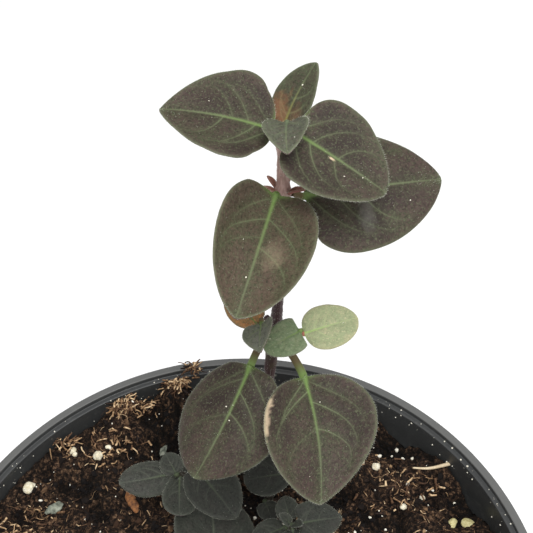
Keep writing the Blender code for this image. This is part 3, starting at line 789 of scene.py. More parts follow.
def drill_drain_holes(pot):
    drills = bmesh.new()
    ring = (CENTRE_PAD_RADIUS + BASE_RADIUS - FOOT_WIDTH) / 2
    size = {"radius1": DRAIN_RADIUS * MM, "radius2": DRAIN_RADIUS * MM, "depth": DRILL_DEPTH * MM}
    for i in range(DRAIN_HOLES):
        turn = 2 * math.pi * (i + 0.5) / DRAIN_HOLES
        spot = Matrix.Translation(Vector((ring * math.cos(turn), ring * math.sin(turn), 3)) * MM)
        bmesh.ops.create_cone(drills, cap_ends=True, segments=32, matrix=spot, **size)
    cutter = add_object("drills", mesh_of("drills", drills))
    boolean = pot.modifiers.new("drain_holes", "BOOLEAN")
    boolean.operation = "DIFFERENCE"
    boolean.object = cutter
    cut = bpy.data.meshes.new_from_object(pot.evaluated_get(bpy.context.evaluated_depsgraph_get()))
    pot.modifiers.clear()
    pot.data = cut
    bpy.data.objects.remove(cutter, do_unlink=True)


def mix_height(x, y):
    """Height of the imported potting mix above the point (x, y)."""
    height = MIX_LEVEL
    for swell in SWELLS:
        distance = math.hypot(x - swell.x, y - swell.y)
        height += swell.rise * math.exp(-((distance / swell.spread) ** 2))
    place = Vector((x, y, 0))
    height += 2 * CRUMB_RELIEF * noise.noise(place / (3 * CRUMB_SIZE))
    height += CRUMB_RELIEF * noise.noise(place / CRUMB_SIZE)
    return height


def lumpy(place, size):
    """Rounded lumps of about the given size, 1 at their tops and 0 between them."""
    nearest = noise.voronoi(place / size)[0][0]
    return max(0, 1 - (1.5 * nearest) ** 2)


def hollow(x, y):
    """How far a place lies in a dark hollow of the mix, from 0 on the open surface."""
    depth = max(0, noise.noise(Vector((x, y, 0)) / 4.2 + Vector((3, 5, 1))) - 0.14)
    ragged = 1 + 0.7 * noise.noise(Vector((x, y, 2)) / 2.2)
    for pit in PITS:
        reach = math.hypot(x - pit.x, y - pit.y) * ragged / pit.spread
        depth += PIT_SHARE * math.exp(-(reach ** 4))
    return min(depth, HOLLOW_LIMIT)


def ground(x, y):
    """Height of the mix with its crumbs and pits."""
    place = Vector((x, y, 0))
    warp = Vector((noise.noise(place / 1.3), noise.noise(place / 1.3 + Vector((9, 9, 9))), 0)) * 1.5
    height = mix_height(x, y) + 0.55 * lumpy(place + warp, 3.4) + 0.4 * lumpy(place + warp, 1.5)
    height += 0.55 * noise.noise(place / 0.9) + 0.3 * noise.noise(place / 0.45) - 0.5
    return height - HOLLOW_DROP * hollow(x, y)


def disc_grid(cells):
    """Points of a square grid drawn out to a disc of radius 1."""
    side = np.linspace(-1, 1, cells + 1)
    x, y = np.meshgrid(side, side, indexing="ij")
    return x * np.sqrt(1 - y * y / 2), y * np.sqrt(1 - x * x / 2)


def mix_finish():
    look = Finish("potting_mix", 0.95, Specular_IOR_Level=0.15)
    place = look.place()
    crumbs = look.noise(place, 0.8, 8, 0.78)
    patches = look.noise(place, 5, 3)
    colour = look.ramp(crumbs, (
        (0.41, (0.003, 0.0025, 0.002)),
        (0.49, (0.014, 0.009, 0.007)),
        (0.55, (0.060, 0.034, 0.020)),
        (0.63, (0.24, 0.145, 0.085)),
    ))
    colour = look.blend(colour, (0.010, 0.007, 0.0055), patches, 0.4, 0.62, 0.0, 0.5)
    look.bump(look.noise(place, 0.4, 6, 0.75), 0.4)
    # Painted shade: the top turns near-black where it lies deep in its hollows
    return look.done(look.mix(look.value("depth"), colour, (0.003, 0.0025, 0.002)))


def mix_top():
    """Points of the mix's top, and a value from 0 to 1 for how deep each lies in the hollows, for painted
    shade.
    """
    xs, ys = disc_grid(MIX_CELLS)
    top = np.empty((*xs.shape, 3))
    depth = np.empty(xs.shape)
    for place in np.ndindex(xs.shape):
        x, y = xs[place] * LEDGE_RADIUS, ys[place] * LEDGE_RADIUS
        height = min(ground(x, y), POT_HEIGHT)
        reach = max(math.hypot(x, y), 1e-6)
        pull = min(1, (wall_inner(height) - GAP) / reach)
        top[place] = (x * pull, y * pull, height)
        depth[place] = min(1, max(0, (mix_height(x, y) - 0.9 - height) / 1.5))
    return top, depth


def build_mix_surface():
    """The plug of potting mix: a finely broken top, and plain sides and bottom inside the pot."""
    bottom = SHEET + FLOOR_RISE + GAP
    top, depth = mix_top()
    index = np.arange(depth.size).reshape(depth.shape)
    faces = np.stack([index[:-1, :-1], index[1:, :-1], index[1:, 1:], index[:-1, 1:]], axis=-1).reshape(-1, 4)
    rim = np.concatenate([index[:-1, 0], index[-1, :-1], index[:0:-1, -1], index[0, :0:-1]])
    edge = top.reshape(-1, 3)[rim]
    around = len(rim)
    low = edge.copy()
    low[:, :2] *= ((wall_inner(bottom) - GAP) / np.linalg.norm(edge[:, :2], axis=1))[:, None]
    low[:, 2] = bottom
    lower = depth.size + np.arange(around)
    skirt = np.stack([rim, lower, np.roll(lower, -1), np.roll(rim, -1)], axis=-1)
    centre = np.full(around, depth.size + around)
    base = np.stack([lower, centre, np.roll(lower, -1)], axis=-1)
    points = np.concatenate([top.reshape(-1, 3), low, [(0, 0, bottom)]])
    # The depth darkens the top in its finish as painted shade in the hollows
    values = {"depth": np.concatenate([depth.ravel(), np.zeros(around + 1)])}
    faces = faces.tolist() + skirt.tolist() + base.tolist()
    add_piece("mix_surface", points, faces, mix_finish(), "potting_mix", "potting_mix", values)


def scattered(draw, count, reach):
    """Places spread evenly over a disc, as x and y."""
    turns = draw.uniform(0, 2 * math.pi, count)
    return on_circle(reach * np.sqrt(draw.random(count)), turns)


def daylight(xs, ys):
    """Share of its colour that a loose bit keeps under painted shade: less in the dark hollows of the mix."""
    return np.array([max(0.0, 1 - 5 * hollow(x, y)) for x, y in zip(xs, ys)])


def crumb_finish():
    look = Finish("mix_crumbs", 0.9, Specular_IOR_Level=0.2)
    place = look.place()
    tint = look.maths("ADD", look.value("tint"), look.span(look.noise(place, 0.5, 3), 0.3, 0.7, -0.12, 0.12))
    look.bump(look.noise(place, 0.25, 3), 0.12)
    return look.done(look.ramp(tint, (
        (0.0, (0.004, 0.003, 0.003)),
        (0.45, (0.016, 0.010, 0.007)),
        (0.75, (0.055, 0.029, 0.017)),
        (0.93, (0.16, 0.095, 0.050)),
        (1.0, (0.36, 0.24, 0.13)),
    )))


def build_crumbs(draw):
    """Loose angular crumbs of peat and bark, most of them small."""
    xs, ys = scattered(draw, CRUMBS, LEDGE_RADIUS - 1.6)
    sizes = 0.14 + 0.50 * draw.random(CRUMBS) ** 2.2
    heights = [ground(x, y) for x, y in zip(xs, ys)]
    places = np.stack([xs, ys, np.array(heights) + 0.25 * sizes], axis=1)
    points, faces = lumps(draw, places, sizes, 0.6, rough=0.4)
    # Painted shade: crumbs in the hollows keep less of their colour
    tints = np.repeat(draw.beta(1.1, 1.25, CRUMBS) * daylight(xs, ys), len(points) // CRUMBS)
    values = {"tint": tints}
    add_piece("mix_crumbs", points, faces, crumb_finish(), "potting_mix", values=values, smooth=False)


def fibre_finish(name):
    look = Finish(name, 0.8, Specular_IOR_Level=0.25)
    wear = look.span(look.noise(look.place(), 0.5, 4, 0.7), 0.3, 0.7, -0.15, 0.15)
    return look.done(look.ramp(look.maths("ADD", look.value("tint"), wear), (
        (0.0, (0.004, 0.003, 0.0025)),
        (0.40, (0.020, 0.011, 0.008)),
        (0.70, (0.12, 0.062, 0.032)),
        (0.88, (0.40, 0.25, 0.13)),
        (1.0, (0.72, 0.54, 0.33)),
    )))


def curl(draw, starts, headings, lengths, twist, steps):
    """Level paths that wander from their starts, as x and y for each step."""
    turns = headings[:, None] + np.cumsum(draw.normal(0, twist, (len(headings), steps)), axis=1)
    pace = (lengths / steps)[:, None]
    xs = starts[0][:, None] + np.cumsum(np.cos(turns) * pace, axis=1)
    ys = starts[1][:, None] + np.cumsum(np.sin(turns) * pace, axis=1)
    return xs, ys


def ground_under(xs, ys):
    """Height of the mix under each point of some paths."""
    return np.array([[ground(x, y) for x, y in zip(*row)] for row in zip(xs, ys)])


def lay_threads(body, draw, count, lengths, radii, twist, steps, hues):
    """Adds threads of fibre that lie all over the mix, each stiff enough to bridge its small hollows."""
    lengths = draw.uniform(*lengths, count)
    starts = scattered(draw, count, LEDGE_RADIUS - 2.5)
    xs, ys = curl(draw, starts, draw.uniform(0, 2 * math.pi, count), lengths, twist, steps)
    pull = np.minimum(1, (LEDGE_RADIUS - 0.6) / np.hypot(xs, ys))
    xs, ys = xs * pull, ys * pull
    share = np.linspace(0, 1, steps)
    floor = ground_under(xs, ys)
    level = 0.6 * floor.mean(axis=1, keepdims=True) + 0.4 * floor
    tilt = draw.normal(0, 0.25, (count, 1)) * (share - 0.5) * lengths[:, None]
    arch = np.sin(math.pi * share) * 0.16 * draw.random((count, 1)) * lengths[:, None]
    paths = np.stack([xs, ys, np.minimum(level + 0.15 + np.abs(tilt) + arch, POT_HEIGHT - 0.3)], axis=-1)
    thickness = radii[0] + (radii[1] - radii[0]) * draw.random((count, 1)) ** 2
    points, faces = threads(paths, thickness * (1 - 0.4 * share))
    # Painted shade: threads that start in the hollows keep less of their colour
    tints = draw.beta(*hues, count) * daylight(*starts)
    body.add(points, faces, tint=np.repeat(tints, len(points) // count))


def heap_threads(body, draw, clump, steps):
    """Adds the short stubby bits of one golden clump, lying every way."""
    count = clump.count
    spots = np.array(clump.place) + np.clip(draw.normal(0, 0.6, (count, 3)), -1.4, 1.4) * clump.spread
    lengths = draw.uniform(0.7, 2.6, count)
    xs, ys = curl(draw, (spots[:, 0], spots[:, 1]), draw.uniform(0, FULL_TURN, count), lengths, 0.3, steps)
    on_lip = clump.place[2] > POT_HEIGHT
    limit = LIP_RADIUS - 0.4 if on_lip else LEDGE_RADIUS - 0.3
    pull = np.minimum(1, limit / np.hypot(xs, ys))
    climb = spots[:, 2:] + draw.normal(0, 0.35, (count, 1)) * np.linspace(0, 1, steps) * lengths[:, None]
    floor = POT_HEIGHT + 0.12 if on_lip else ground_under(xs, ys) + 0.1
    paths = np.stack([xs * pull, ys * pull, np.maximum(climb, floor)], axis=-1)
    radii = draw.uniform(0.08, 0.27, (count, 1)) * np.linspace(1, 0.7, steps)
    points, faces = threads(paths, radii, 4)
    body.add(points, faces, tint=np.repeat(draw.beta(3.6, 1.3, count), len(points) // count))


def build_fibres(draw):
    """Stubby bits and fine curly fibres all over the mix, and heaps of golden ones against the wall."""
    bits = Body()
    lay_threads(
        bits, draw, BITS, lengths=(0.5, 2.4), radii=(0.05, 0.20), twist=0.25, steps=3, hues=(1.0, 0.72)
    )
    for clump in CLUMPS:
        heap_threads(bits, draw, clump, steps=4)
    bits.finish("mix_bits", fibre_finish("mix_bits"), "potting_mix")
    fibres = Body()
    lay_threads(
        fibres, draw, FIBRES, lengths=(1.5, 5.5), radii=(0.03, 0.08), twist=0.5, steps=8, hues=(2.0, 1.6)
    )
    fibres.finish("mix_fibres", fibre_finish("mix_fibres"), "potting_mix")


def speck_finish(name):
    look = Finish(name, 0.8)
    return look.done(look.mix(look.noise(look.place(), 0.6, 3), (0.72, 0.66, 0.50), (0.85, 0.83, 0.76)))


def build_specks(draw):
    """Fine white dust of perlite on the mix, on the wall above it and on the ledge."""
    count = WHITE_SPECKS
    xs, ys = scattered(draw, count, LEDGE_RADIUS - 1.5)
    sizes = 0.10 + 0.34 * draw.random(count) ** 3
    mix = np.array([(x, y, ground(x, y) + 0.35 + 0.4 * size) for x, y, size in zip(xs, ys, sizes)])
    on_wall = count // 2
    turns = draw.uniform(0, 2 * math.pi, on_wall)
    heights = draw.uniform(MIX_LEVEL + 0.5, POT_HEIGHT - LIP_DROP, on_wall)
    wall = np.stack([*on_circle(LEDGE_RADIUS, turns), heights], axis=1)
    on_ledge = count // 4
    turns = draw.uniform(0, 2 * math.pi, on_ledge)
    radii = draw.uniform(LEDGE_RADIUS + 0.2, LIP_RADIUS - LIP_BAND - 0.1, on_ledge)
    level = np.full(on_ledge, POT_HEIGHT - LIP_DROP + 0.03)
    ledge = np.stack([*on_circle(radii, turns), level], axis=1)
    places = np.concatenate([mix, wall, ledge])
    dust = 0.05 + 0.15 * draw.random(len(wall) + len(ledge)) ** 2
    points, faces = lumps(draw, places, np.concatenate([sizes, dust]), 0.4)
    add_piece("perlite_dust", points, faces, speck_finish("perlite_dust"))


def grain_finish(kind):
    first, second, roughness, size = GRAIN_LOOKS[kind]
    look = Finish(f"{kind}_grain", roughness)
    place = look.place()
    mottle = look.span(look.noise(place, size, 5, 0.65), 0.35, 0.65)
    look.bump(look.noise(place, 0.3, 4, 0.7), 0.2)
    return look.done(look.mix(mottle, first, second))


def grain_points(grain):
    """Points and triangles of one grain: a pitted lump, or a flat splinter of bark or stone."""
    ball, faces = unit_lump(3)
    turn = math.radians(grain.turn)
    ahead = Vector((math.cos(turn), math.sin(turn), 0))
    centre = Vector((grain.x, grain.y, ground(grain.x, grain.y) + 0.45 * grain.size))
    points = []
    for spoke in ball:
        spoke = Vector(spoke)
        place = spoke * 1.3 + Vector((grain.x, grain.y, 0))
        wear = 1 + 0.28 * noise.noise(place) + 0.12 * noise.noise(place * 2.7)
        spoke = spoke * grain.size * wear
        spoke += ahead * ahead.dot(spoke) * (grain.length - 1)
        spoke.z *= GRAIN_THICKNESS[grain.kind]
        points.append(centre + spoke)
    return np.array(points), faces.tolist()


def build_grains(draw):
    """Perlite, flakes, chips and bark, with loose perlite over the front of the mix."""
    grains = list(GRAINS)
    while len(grains) < len(GRAINS) + LOOSE_GRAINS:
        x, y = (float(v[0]) for v in scattered(draw, 1, LEDGE_RADIUS - 4))
        if y > 16 or min(math.hypot(x - grain.x, y - grain.y) for grain in grains) < 3:
            continue
        kind = draw.choice(["perlite", "perlite", "perlite", "perlite", "flake", "bark"])
        grains.append(Grain(kind, x, y, draw.uniform(0.4, 1.2), draw.uniform(1, 1.7), draw.uniform(0, 180)))
    for kind in GRAIN_LOOKS:
        body = Body()
        for grain in grains:
            if grain.kind == kind:
                body.add(*grain_points(grain))
        body.finish(f"{kind}_grains", grain_finish(kind))


def build_straw():
    """A pale straw that lies on the mix near the right wall, thicker at its far end and mottled from tan to
    cream.
    """
    line = spline(STRAW, 8)
    level = max(ground(x, y) for x, y in line) + 0.35
    path = np.stack([line[:, 0], line[:, 1], np.full(len(line), level)], axis=-1)[None]
    points, faces = threads(path, np.linspace(0.16, 0.42, len(line))[None], 8)
    look = Finish("straw", 0.6)
    colour = look.mix(look.noise(look.place(), 0.8), (0.42, 0.30, 0.16), (0.72, 0.62, 0.44))
    add_piece("straw", points, faces, look.done(colour))


def leaf_axes(leaf):
    """Unit vectors along the leaf's midrib, to its left side and out of its upper face, at its base."""
    heading, pitch, roll = np.radians((leaf.heading, leaf.pitch, leaf.roll))
    reach = math.cos(pitch)
    along = np.array((reach * math.cos(heading), reach * math.sin(heading), math.sin(pitch)))
    level = np.array((-math.sin(heading), math.cos(heading), 0))
    side = level * math.cos(roll) + np.cross(along, level) * math.sin(roll)
    return along, side, np.cross(along, side)


def half_width(leaf, t):
    """Half the blade's width a share t of the way from its base to its tip."""
    widest = leaf.rise / (leaf.rise + leaf.fall)
    peak = widest ** leaf.rise * (1 - widest) ** leaf.fall
    outline = leaf.width / 2 * t ** leaf.rise * (1 - t) ** leaf.fall / peak
    return np.maximum(np.maximum(outline, leaf.stalk * (1 - t)), TIP_HALF_WIDTH)


def blade_surface(leaf, t, v, wave):
    """Points of the blade's middle surface: an arched midrib, margins that cup and wave, and heel lobes."""
    along, side, normal = leaf_axes(leaf)
    bend = math.radians(leaf.bend)
    turn = bend * t[:, None, None]
    t = t[:, None, None]
    v = v[None, :, None]
    rib = np.array(leaf.base) + along * (leaf.length * np.sin(turn) / bend)
    rib = rib + normal * (leaf.length * (np.cos(turn) - 1) / bend) + side * (leaf.sweep * leaf.length * t * t)
    ahead = along * np.cos(turn) - normal * np.sin(turn)
    up = normal * np.cos(turn) + along * np.sin(turn)
    half = half_width(leaf, t)
    lift = math.radians(leaf.cup) * np.abs(v)
    heel = leaf.lobe * leaf.length * (1 - t) ** 3 * np.abs(v) ** 1.5 * np.minimum(1, t / HEEL_START)
    points = rib + side * (half * v * np.cos(lift)) + up * (half * np.abs(v) * np.sin(lift) + wave[..., None])
    return points - ahead * heel


def stalk_surface(leaf, foot, v):
    """Middle surface of the leaf stalk, on a curve from its foot to the blade's base."""
    along, side, _ = leaf_axes(leaf)
    base = np.array(leaf.base)
    foot = np.array(foot)
    reach = np.linalg.norm(base - foot)
    second = foot + (base - foot) * 0.3 + np.array((0, 0, 0.12 * reach))
    third = base - along * (reach * 0.35)
    u = (np.arange(STALK_ROWS) / STALK_ROWS)[:, None]
    centre = (1 - u) ** 3 * foot + 3 * u * (1 - u) ** 2 * second + 3 * u * u * (1 - u) * third + u ** 3 * base
    return centre[:, None] + side * (leaf.stalk * v)[:, None]


def side_veins(draw):
    """Side veins in pairs, each a line of (t, v) that leaves the midrib and arches forward to the margin."""
    lines = []
    for start, travel, least in VEIN_PAIRS:
        for hand in (-1, 1):
            s = np.linspace(0, 1, 26)
            shift = draw.uniform(-0.06, 0.06) * (start > 0.05)
            waver = 0.012 * np.sin(9 * s + draw.uniform(0, FULL_TURN)) * s
            t = start + shift + travel * s ** 1.25 + waver
            v = hand * (draw.uniform(0.68, 0.86) * (1 - (1 - s) ** 1.6) + waver)
            lines.append((t, v, draw.uniform(least, least + 0.6) * (1 - s) ** 0.7))
    return lines


def vein_field(leaf, u, w, lines):
    """Signed millimetres to the nearest side vein, its strength there, and the distance to any vein."""
    nearest = np.abs(w)
    aside = np.full(u.shape, leaf.length)
    strength = np.zeros(u.shape)
    for line_t, line_v, force in lines:
        line_u = line_t * leaf.length
        line_w = half_width(leaf, np.clip(line_t, 0, 1)) * line_v
        for k in range(len(line_u) - 1):
            du, dw = line_u[k + 1] - line_u[k], line_w[k + 1] - line_w[k]
            out_u, out_w = u - line_u[k], w - line_w[k]
            along = np.clip((out_u * du + out_w * dw) / (du * du + dw * dw), 0, 1)
            gap = np.hypot(out_u - along * du, out_w - along * dw)
            nearest = np.minimum(nearest, gap + 0.5 * (1 - force[k]))
            closer = gap < np.abs(aside)
            aside = np.where(closer, np.copysign(gap, out_u * dw - out_w * du), aside)
            strength = np.where(closer, force[k], strength)
    return aside, strength, nearest


def fine_noise(u, w, size, seed):
    """Smooth noise of the given feature size over the leaf's flat coordinates."""
    flat = zip(u.ravel(), w.ravel())
    found = [noise.noise(Vector((a / size, b / size, seed))) for a, b in flat]
    return np.array(found).reshape(u.shape)


def edge_waves(leaf, t, v, seed):
    """How far each margin waves up and down."""
    left, right = (np.array([noise.noise(Vector((x * 5, seed, row))) for x in t]) for row in (0, 7))
    wave = np.where(v < 0, left[:, None], right[:, None]) * np.abs(v) ** 3
    return 0.02 * leaf.length * wave * np.sin(np.pi * t)[:, None] ** 0.5


def leaf_chart(leaf, t, v, seed, draw):
    """Flat map of a leaf: shares t and v along and across it, u and w as millimetres, and its veins."""
    half = half_width(leaf, t)
    u, w = np.broadcast_to(t * leaf.length, v.shape), half * v
    return Chart(t, v, u, w, half, seed, *vein_field(leaf, u, w, side_veins(draw)))


def leaf_faces(leaf, chart, middle):
    """Upper and lower face of a leaf on both sides of its middle surface, and the normals of that surface."""
    t, w = chart.t, chart.w
    groove = VEIN_GROOVE * chart.power * np.exp(-((chart.aside / VEIN_WIDTH) ** 2))
    on_blade = np.clip(t / HEEL_START, 0, 1)
    rim = 1 - np.abs(chart.v) ** 6
    quilt = QUILT * (1 - np.exp(-((chart.nearest / 1.1) ** 2))) * rim * on_blade
    quilt = quilt + 0.025 * fine_noise(chart.u, w, 0.55, chart.seed) * on_blade
    rib_radius = leaf.stalk * (1 - t) ** 1.3
    rib_below = rib_radius * np.sqrt(np.clip(1 - (w / (rib_radius + 1e-6)) ** 2, 0, 1))
    rib_above = leaf.stalk * np.sqrt(np.clip(1 - (w / leaf.stalk) ** 2, 0, 1)) * np.clip(1 - t / 0.1, 0, 1)
    rib_groove = RIB_GROOVE * np.exp(-((w / 0.35) ** 2)) * np.clip(t / 0.1, 0, 1) * (1 - t)
    thickness = BLADE / 2 * (0.25 + 0.75 * np.sqrt(rim)) * on_blade
    normals = unit(np.cross(np.gradient(middle, axis=0), np.gradient(middle, axis=1)))
    raised = np.maximum(thickness, rib_above) + quilt - (rib_groove + groove) * on_blade
    lowered = np.maximum(thickness, rib_below) - quilt + groove * on_blade
    return middle + normals * raised[..., None], middle - normals * lowered[..., None], normals


def leaf_blots(leaf, chart, blots):
    """How strong the blots are over a leaf: dry and faded ones, and a painted sheen."""
    found = np.zeros(chart.v.shape)
    for blot in blots:
        along = (chart.t - blot.t) * leaf.length / blot.length
        across = (chart.v - blot.v) * chart.half / blot.width
        ragged = (along ** 2 + across ** 2) * (1 + 0.8 * fine_noise(chart.u, chart.w, 0.6, chart.seed + 3))
        found = np.maximum(found, blot.strength * np.clip(blot.edge * (1 - ragged), 0, 1))
    return found


def leaf_values(leaf, chart, blots):
    """What a leaf's finish reads at each point of its upper face."""
    t, v, u, w = chart[:4]
    on_blade = np.clip(t / HEEL_START, 0, 1)
    rib_width = (0.17 * (1 - t) ** 0.7 + 0.06) * min(1, leaf.length / FULL_RIB_LEAF)
    rib_width = rib_width + 0.5 * np.exp(-t / 0.035) * (leaf.length > FULL_RIB_LEAF)
    margin = np.exp(-chart.half * (1 - np.abs(v)) / 0.22)
    stalk_run = np.zeros(v.shape)
    stalk_run[:STALK_ROWS] = np.linspace(-3, 0, STALK_ROWS)[:, None]
    return {
        "along": u + stalk_run,
        "across": w,
        "seed": np.full(v.shape, chart.seed),
        "rib": np.exp(-((w / rib_width) ** 2)) * (1 - 0.6 * t ** 1.5),
        "vein": chart.power * np.clip(1.6 - np.abs(chart.aside) / 0.25, 0, 1) * on_blade,
        "vein_gap": np.clip(chart.aside, -1, 1),
        "margin": np.maximum(margin, np.exp(-(1 - t) * leaf.length / 0.3)) * on_blade,
        "stalk": np.broadcast_to(np.exp(-t / 0.012), v.shape),
        "tip": u / leaf.length + stalk_run / 3,
        "near": np.exp(-((chart.nearest / 1.3) ** 2)),
        "dusk": np.clip((1 - t) / 0.45, 0, 1) * np.clip(t / 0.06, 0, 1) * (1 - np.abs(v) ** 8),
        "blot": leaf_blots(leaf, chart, blots),
    }


def add_leaf(body, leaf, foot, grid, draw, blots=()):
    """Adds the closed mesh of a leaf to a body, and returns its upper face and normals for rooting hairs."""
    rows, columns = grid
    c = np.linspace(-1, 1, 2 * columns + 1)
    v = c * (0.6 + 0.4 * c * c)
    t = np.sin(np.pi / 2 * np.arange(rows + 1) / rows) ** 2
    seed = draw.uniform(0, 100)
    blade = blade_surface(leaf, t, v, edge_waves(leaf, t, v, seed))
    middle = np.concatenate([stalk_surface(leaf, foot, v), blade])
    t = np.concatenate([np.zeros(STALK_ROWS), t])[:, None]
    chart = leaf_chart(leaf, t, np.broadcast_to(v, (len(t), len(v))), seed, draw)
    above, below, normals = leaf_faces(leaf, chart, middle)
    around = 2 * len(v)
    ring = np.concatenate([above, below[:, ::-1]], axis=1)
    k = np.arange(around // 2 - 1)
    cap = np.stack([k, k + 1, around - 2 - k, around - 1 - k], axis=-1)
    faces = [ring_faces(len(ring), around), cap[:, ::-1], cap + (len(ring) - 1) * around]
    values = {
        key: np.concatenate([value, value[:, ::-1]], axis=1).ravel()
        for key, value in leaf_values(leaf, chart, blots).items()
    }
    values["flat"] = np.stack([values.pop(key) for key in ("along", "across", "seed")], axis=1)
    values["under"] = np.repeat([[0.0] * len(v) + [1.0] * len(v)], len(ring), axis=0).ravel()
    body.add(ring, np.concatenate(faces)[:, ::-1].tolist(), **values)
    return above, normals


def leaf_hairs(leaf, surface, draw, density=FACE_HAIRS):
    """The fringe of hairs along both margins and sparse short ones on the upper face, as (roots, tips)."""
    above, normals = (values[STALK_ROWS:] for values in surface)
    found = []
    for column, hand in ((0, -1), (-1, 1)):
        line = above[:, column]
        run = np.concatenate([[0], np.cumsum(np.linalg.norm(np.diff(line, axis=0), axis=1))])
        stations = np.arange(0, run[-1], FRINGE_SPACING)
        stations = stations + draw.uniform(-0.05, 0.05, len(stations))
        spots, ahead, up = (
            np.stack([np.interp(stations, run, values[:, k]) for k in range(3)], axis=1)
            for values in (line, np.gradient(line, axis=0), normals[:, column])
        )
        ahead = unit(ahead, TINY)
        out = unit(np.cross(ahead, up) * -hand, TINY)
        lean = unit(out + 0.35 * ahead + draw.normal(0, 0.28, spots.shape))
        found.append((spots - out * 0.05, spots + lean * draw.uniform(*FRINGE_LENGTHS, (len(spots), 1))))
    count = int(density * leaf.length * leaf.width)
    rows, columns = (draw.integers(2, size - 2, count) for size in above.shape[:2])
    spots, up = above[rows, columns], normals[rows, columns]
    lean = unit(up + 0.7 * leaf_axes(leaf)[0] + draw.normal(0, 0.4, spots.shape))
    found.append((spots - up * 0.03, spots + lean * draw.uniform(*FACE_HAIR_LENGTHS, (count, 1))))
    return found


def scaled(colour, share):
    return tuple(share * c for c in colour)


def leaf_finish(name, look_of, blot_colour=DRY):
    """Bronze and green patches, a sharp grain of dark and pale flecks, and veins and margin over them."""
    look = Finish(name, 0.55, Specular_IOR_Level=0.2)
    flat = look.flat()
    near, tip, on_rib = (look.value(key) for key in ("near", "tip", "rib"))
    patches = look.noise(flat, 5.5, 4, 0.6)
    mottle = look.noise(flat, 1.3, 5, 0.75)
    grain = look.noise(flat, 0.40, 5, 0.8)
    fleck = look.noise(flat, 0.28, 3, 0.7)
    middle = 1 - look_of.share
    bronze = look.span(patches, middle - 0.14, middle + 0.14)
    bronze = look.times(bronze, look.span(near, 0.0, 1.0, 1.0, 0.25))
    colour = look.mix(bronze, look_of.green, look_of.bronze)
    for value, low, high, share, other in (
        (mottle, 0.50, 0.70, 0.55, scaled(look_of.bronze, 1.5)),
        (grain, 0.49, 0.62, look_of.grain, scaled(look_of.green, 0.3)),
        (fleck, 0.54, 0.68, 0.5, scaled(look_of.bronze, 1.9)),
    ):
        colour = look.blend(colour, other, value, low, high, 0.0, share)
    dusk = look.times(look.value("dusk"), look.span(patches, 0.38, 0.56, 0.2, 1.0))
    dusk = look.times(dusk, look.span(near, 0.0, 1.0, 1.0, 0.5))
    colour = look.mix(look.times(dusk, look_of.dusk), colour, scaled(look_of.bronze, 0.36))
    colour = look.blend(colour, look_of.vein, fleck, 0.36, 0.46, 0.36, 0.0)
    colour = look.blend(colour, look_of.vein, look.cells(flat, 0.9, "DISTANCE_TO_EDGE"), 0.0, 0.08, 0.07, 0.0)
    gap = look.maths("ABSOLUTE", look.value("vein_gap"), 0.0)
    line = look.times(look.span(gap, 0.03, 0.14, 0.85, 0.12), look.value("vein"))
    colour = look.mix(line, colour, look_of.vein)
    # Blots: dry and faded patches, young orange, and on the middle right leaf a painted sheen
    ragged = look.times(look.value("blot"), look.span(mottle, 0.36, 0.56, 0.6, 1.0))
    colour = look.mix(ragged, colour, blot_colour)
    colour = look.mix(look.times(look.value("margin"), 0.6), colour, look_of.edge)
    colour = look.mix(on_rib, colour, look.mix(look.span(tip, 0.05, 0.7), look_of.rib, look_of.vein))
    back = look.blend(look_of.under, look_of.green, patches, 0.35, 0.65, 0.0, 0.6)
    back = look.mix(look.times(on_rib, 0.6), back, look_of.stalk)
    colour = look.mix(look.value("under"), colour, back)
    stalk = look.mix(look.span(tip, -0.35, 0.04), look_of.stalk, look_of.rib)
    colour = look.mix(look.value("stalk"), colour, stalk)
    look.bump(look.maths("ADD", grain, look.times(look.cells(flat, 0.5, "SMOOTH_F1"), 0.8)), 0.07)
    return look.done(colour, look.span(grain, 0.3, 0.7, 0.46, 0.7))


def hair_finish():
    look = Finish("plant_hairs", 0.5, Specular_IOR_Level=0.4)
    return look.done(look.mix(look.noise(look.place(), 2.0), (0.36, 0.38, 0.30), (0.62, 0.62, 0.54)))


def build_hairs(name, found, finish):
    """One piece of all the hairs found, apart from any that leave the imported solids' box."""
    roots, tips = (np.concatenate(ends) for ends in zip(*found))
    low, high = (np.array(corner) / MM for corner in CAD_BOX)
    kept = np.all((tips > low) & (tips < high), axis=1)
    add_piece(name, *hair_cones(roots[kept], tips[kept]), finish)


def build_main_leaves(hairs):
    """The leaves of the main shoot with their hairs, and the few white specks that lie on them."""
    specks = []
    for number, (name, leaf) in enumerate(MAIN_LEAVES.items()):
        draw = np.random.default_rng(SEED + number)
        grid = LARGE_GRID if leaf.length > LARGE_MAIN_LEAF else SMALL_GRID
        body = Body()
        surface = add_leaf(body, leaf, leaf.foot, grid, draw, BLOTS.get(name, ()))
        finish = leaf_finish(f"{name}_skin", LOOKS.get(name, BRONZE), BLOT_COLOURS.get(name, DRY))
        body.finish(f"{name}_blade", finish, SLOTS.get(name, "leaf_bronze"), name)
        build_hairs(f"{name}_hairs", leaf_hairs(leaf, surface, draw), hairs)
        above, normals = surface
        rows = draw.integers(STALK_ROWS + len(above) // 4, len(above) * 3 // 4, int(leaf.length / 5))
        columns = draw.integers(above.shape[1] // 6, above.shape[1] * 5 // 6, len(rows))
        specks.append(above[rows, columns] + 0.05 * normals[rows, columns])
    places = np.concatenate(specks)
    sizes = 0.05 + 0.08 * draw.random(len(places)) ** 2
    add_piece("leaf_specks", *lumps(draw, places, sizes, 0.4), speck_finish("leaf_specks"))


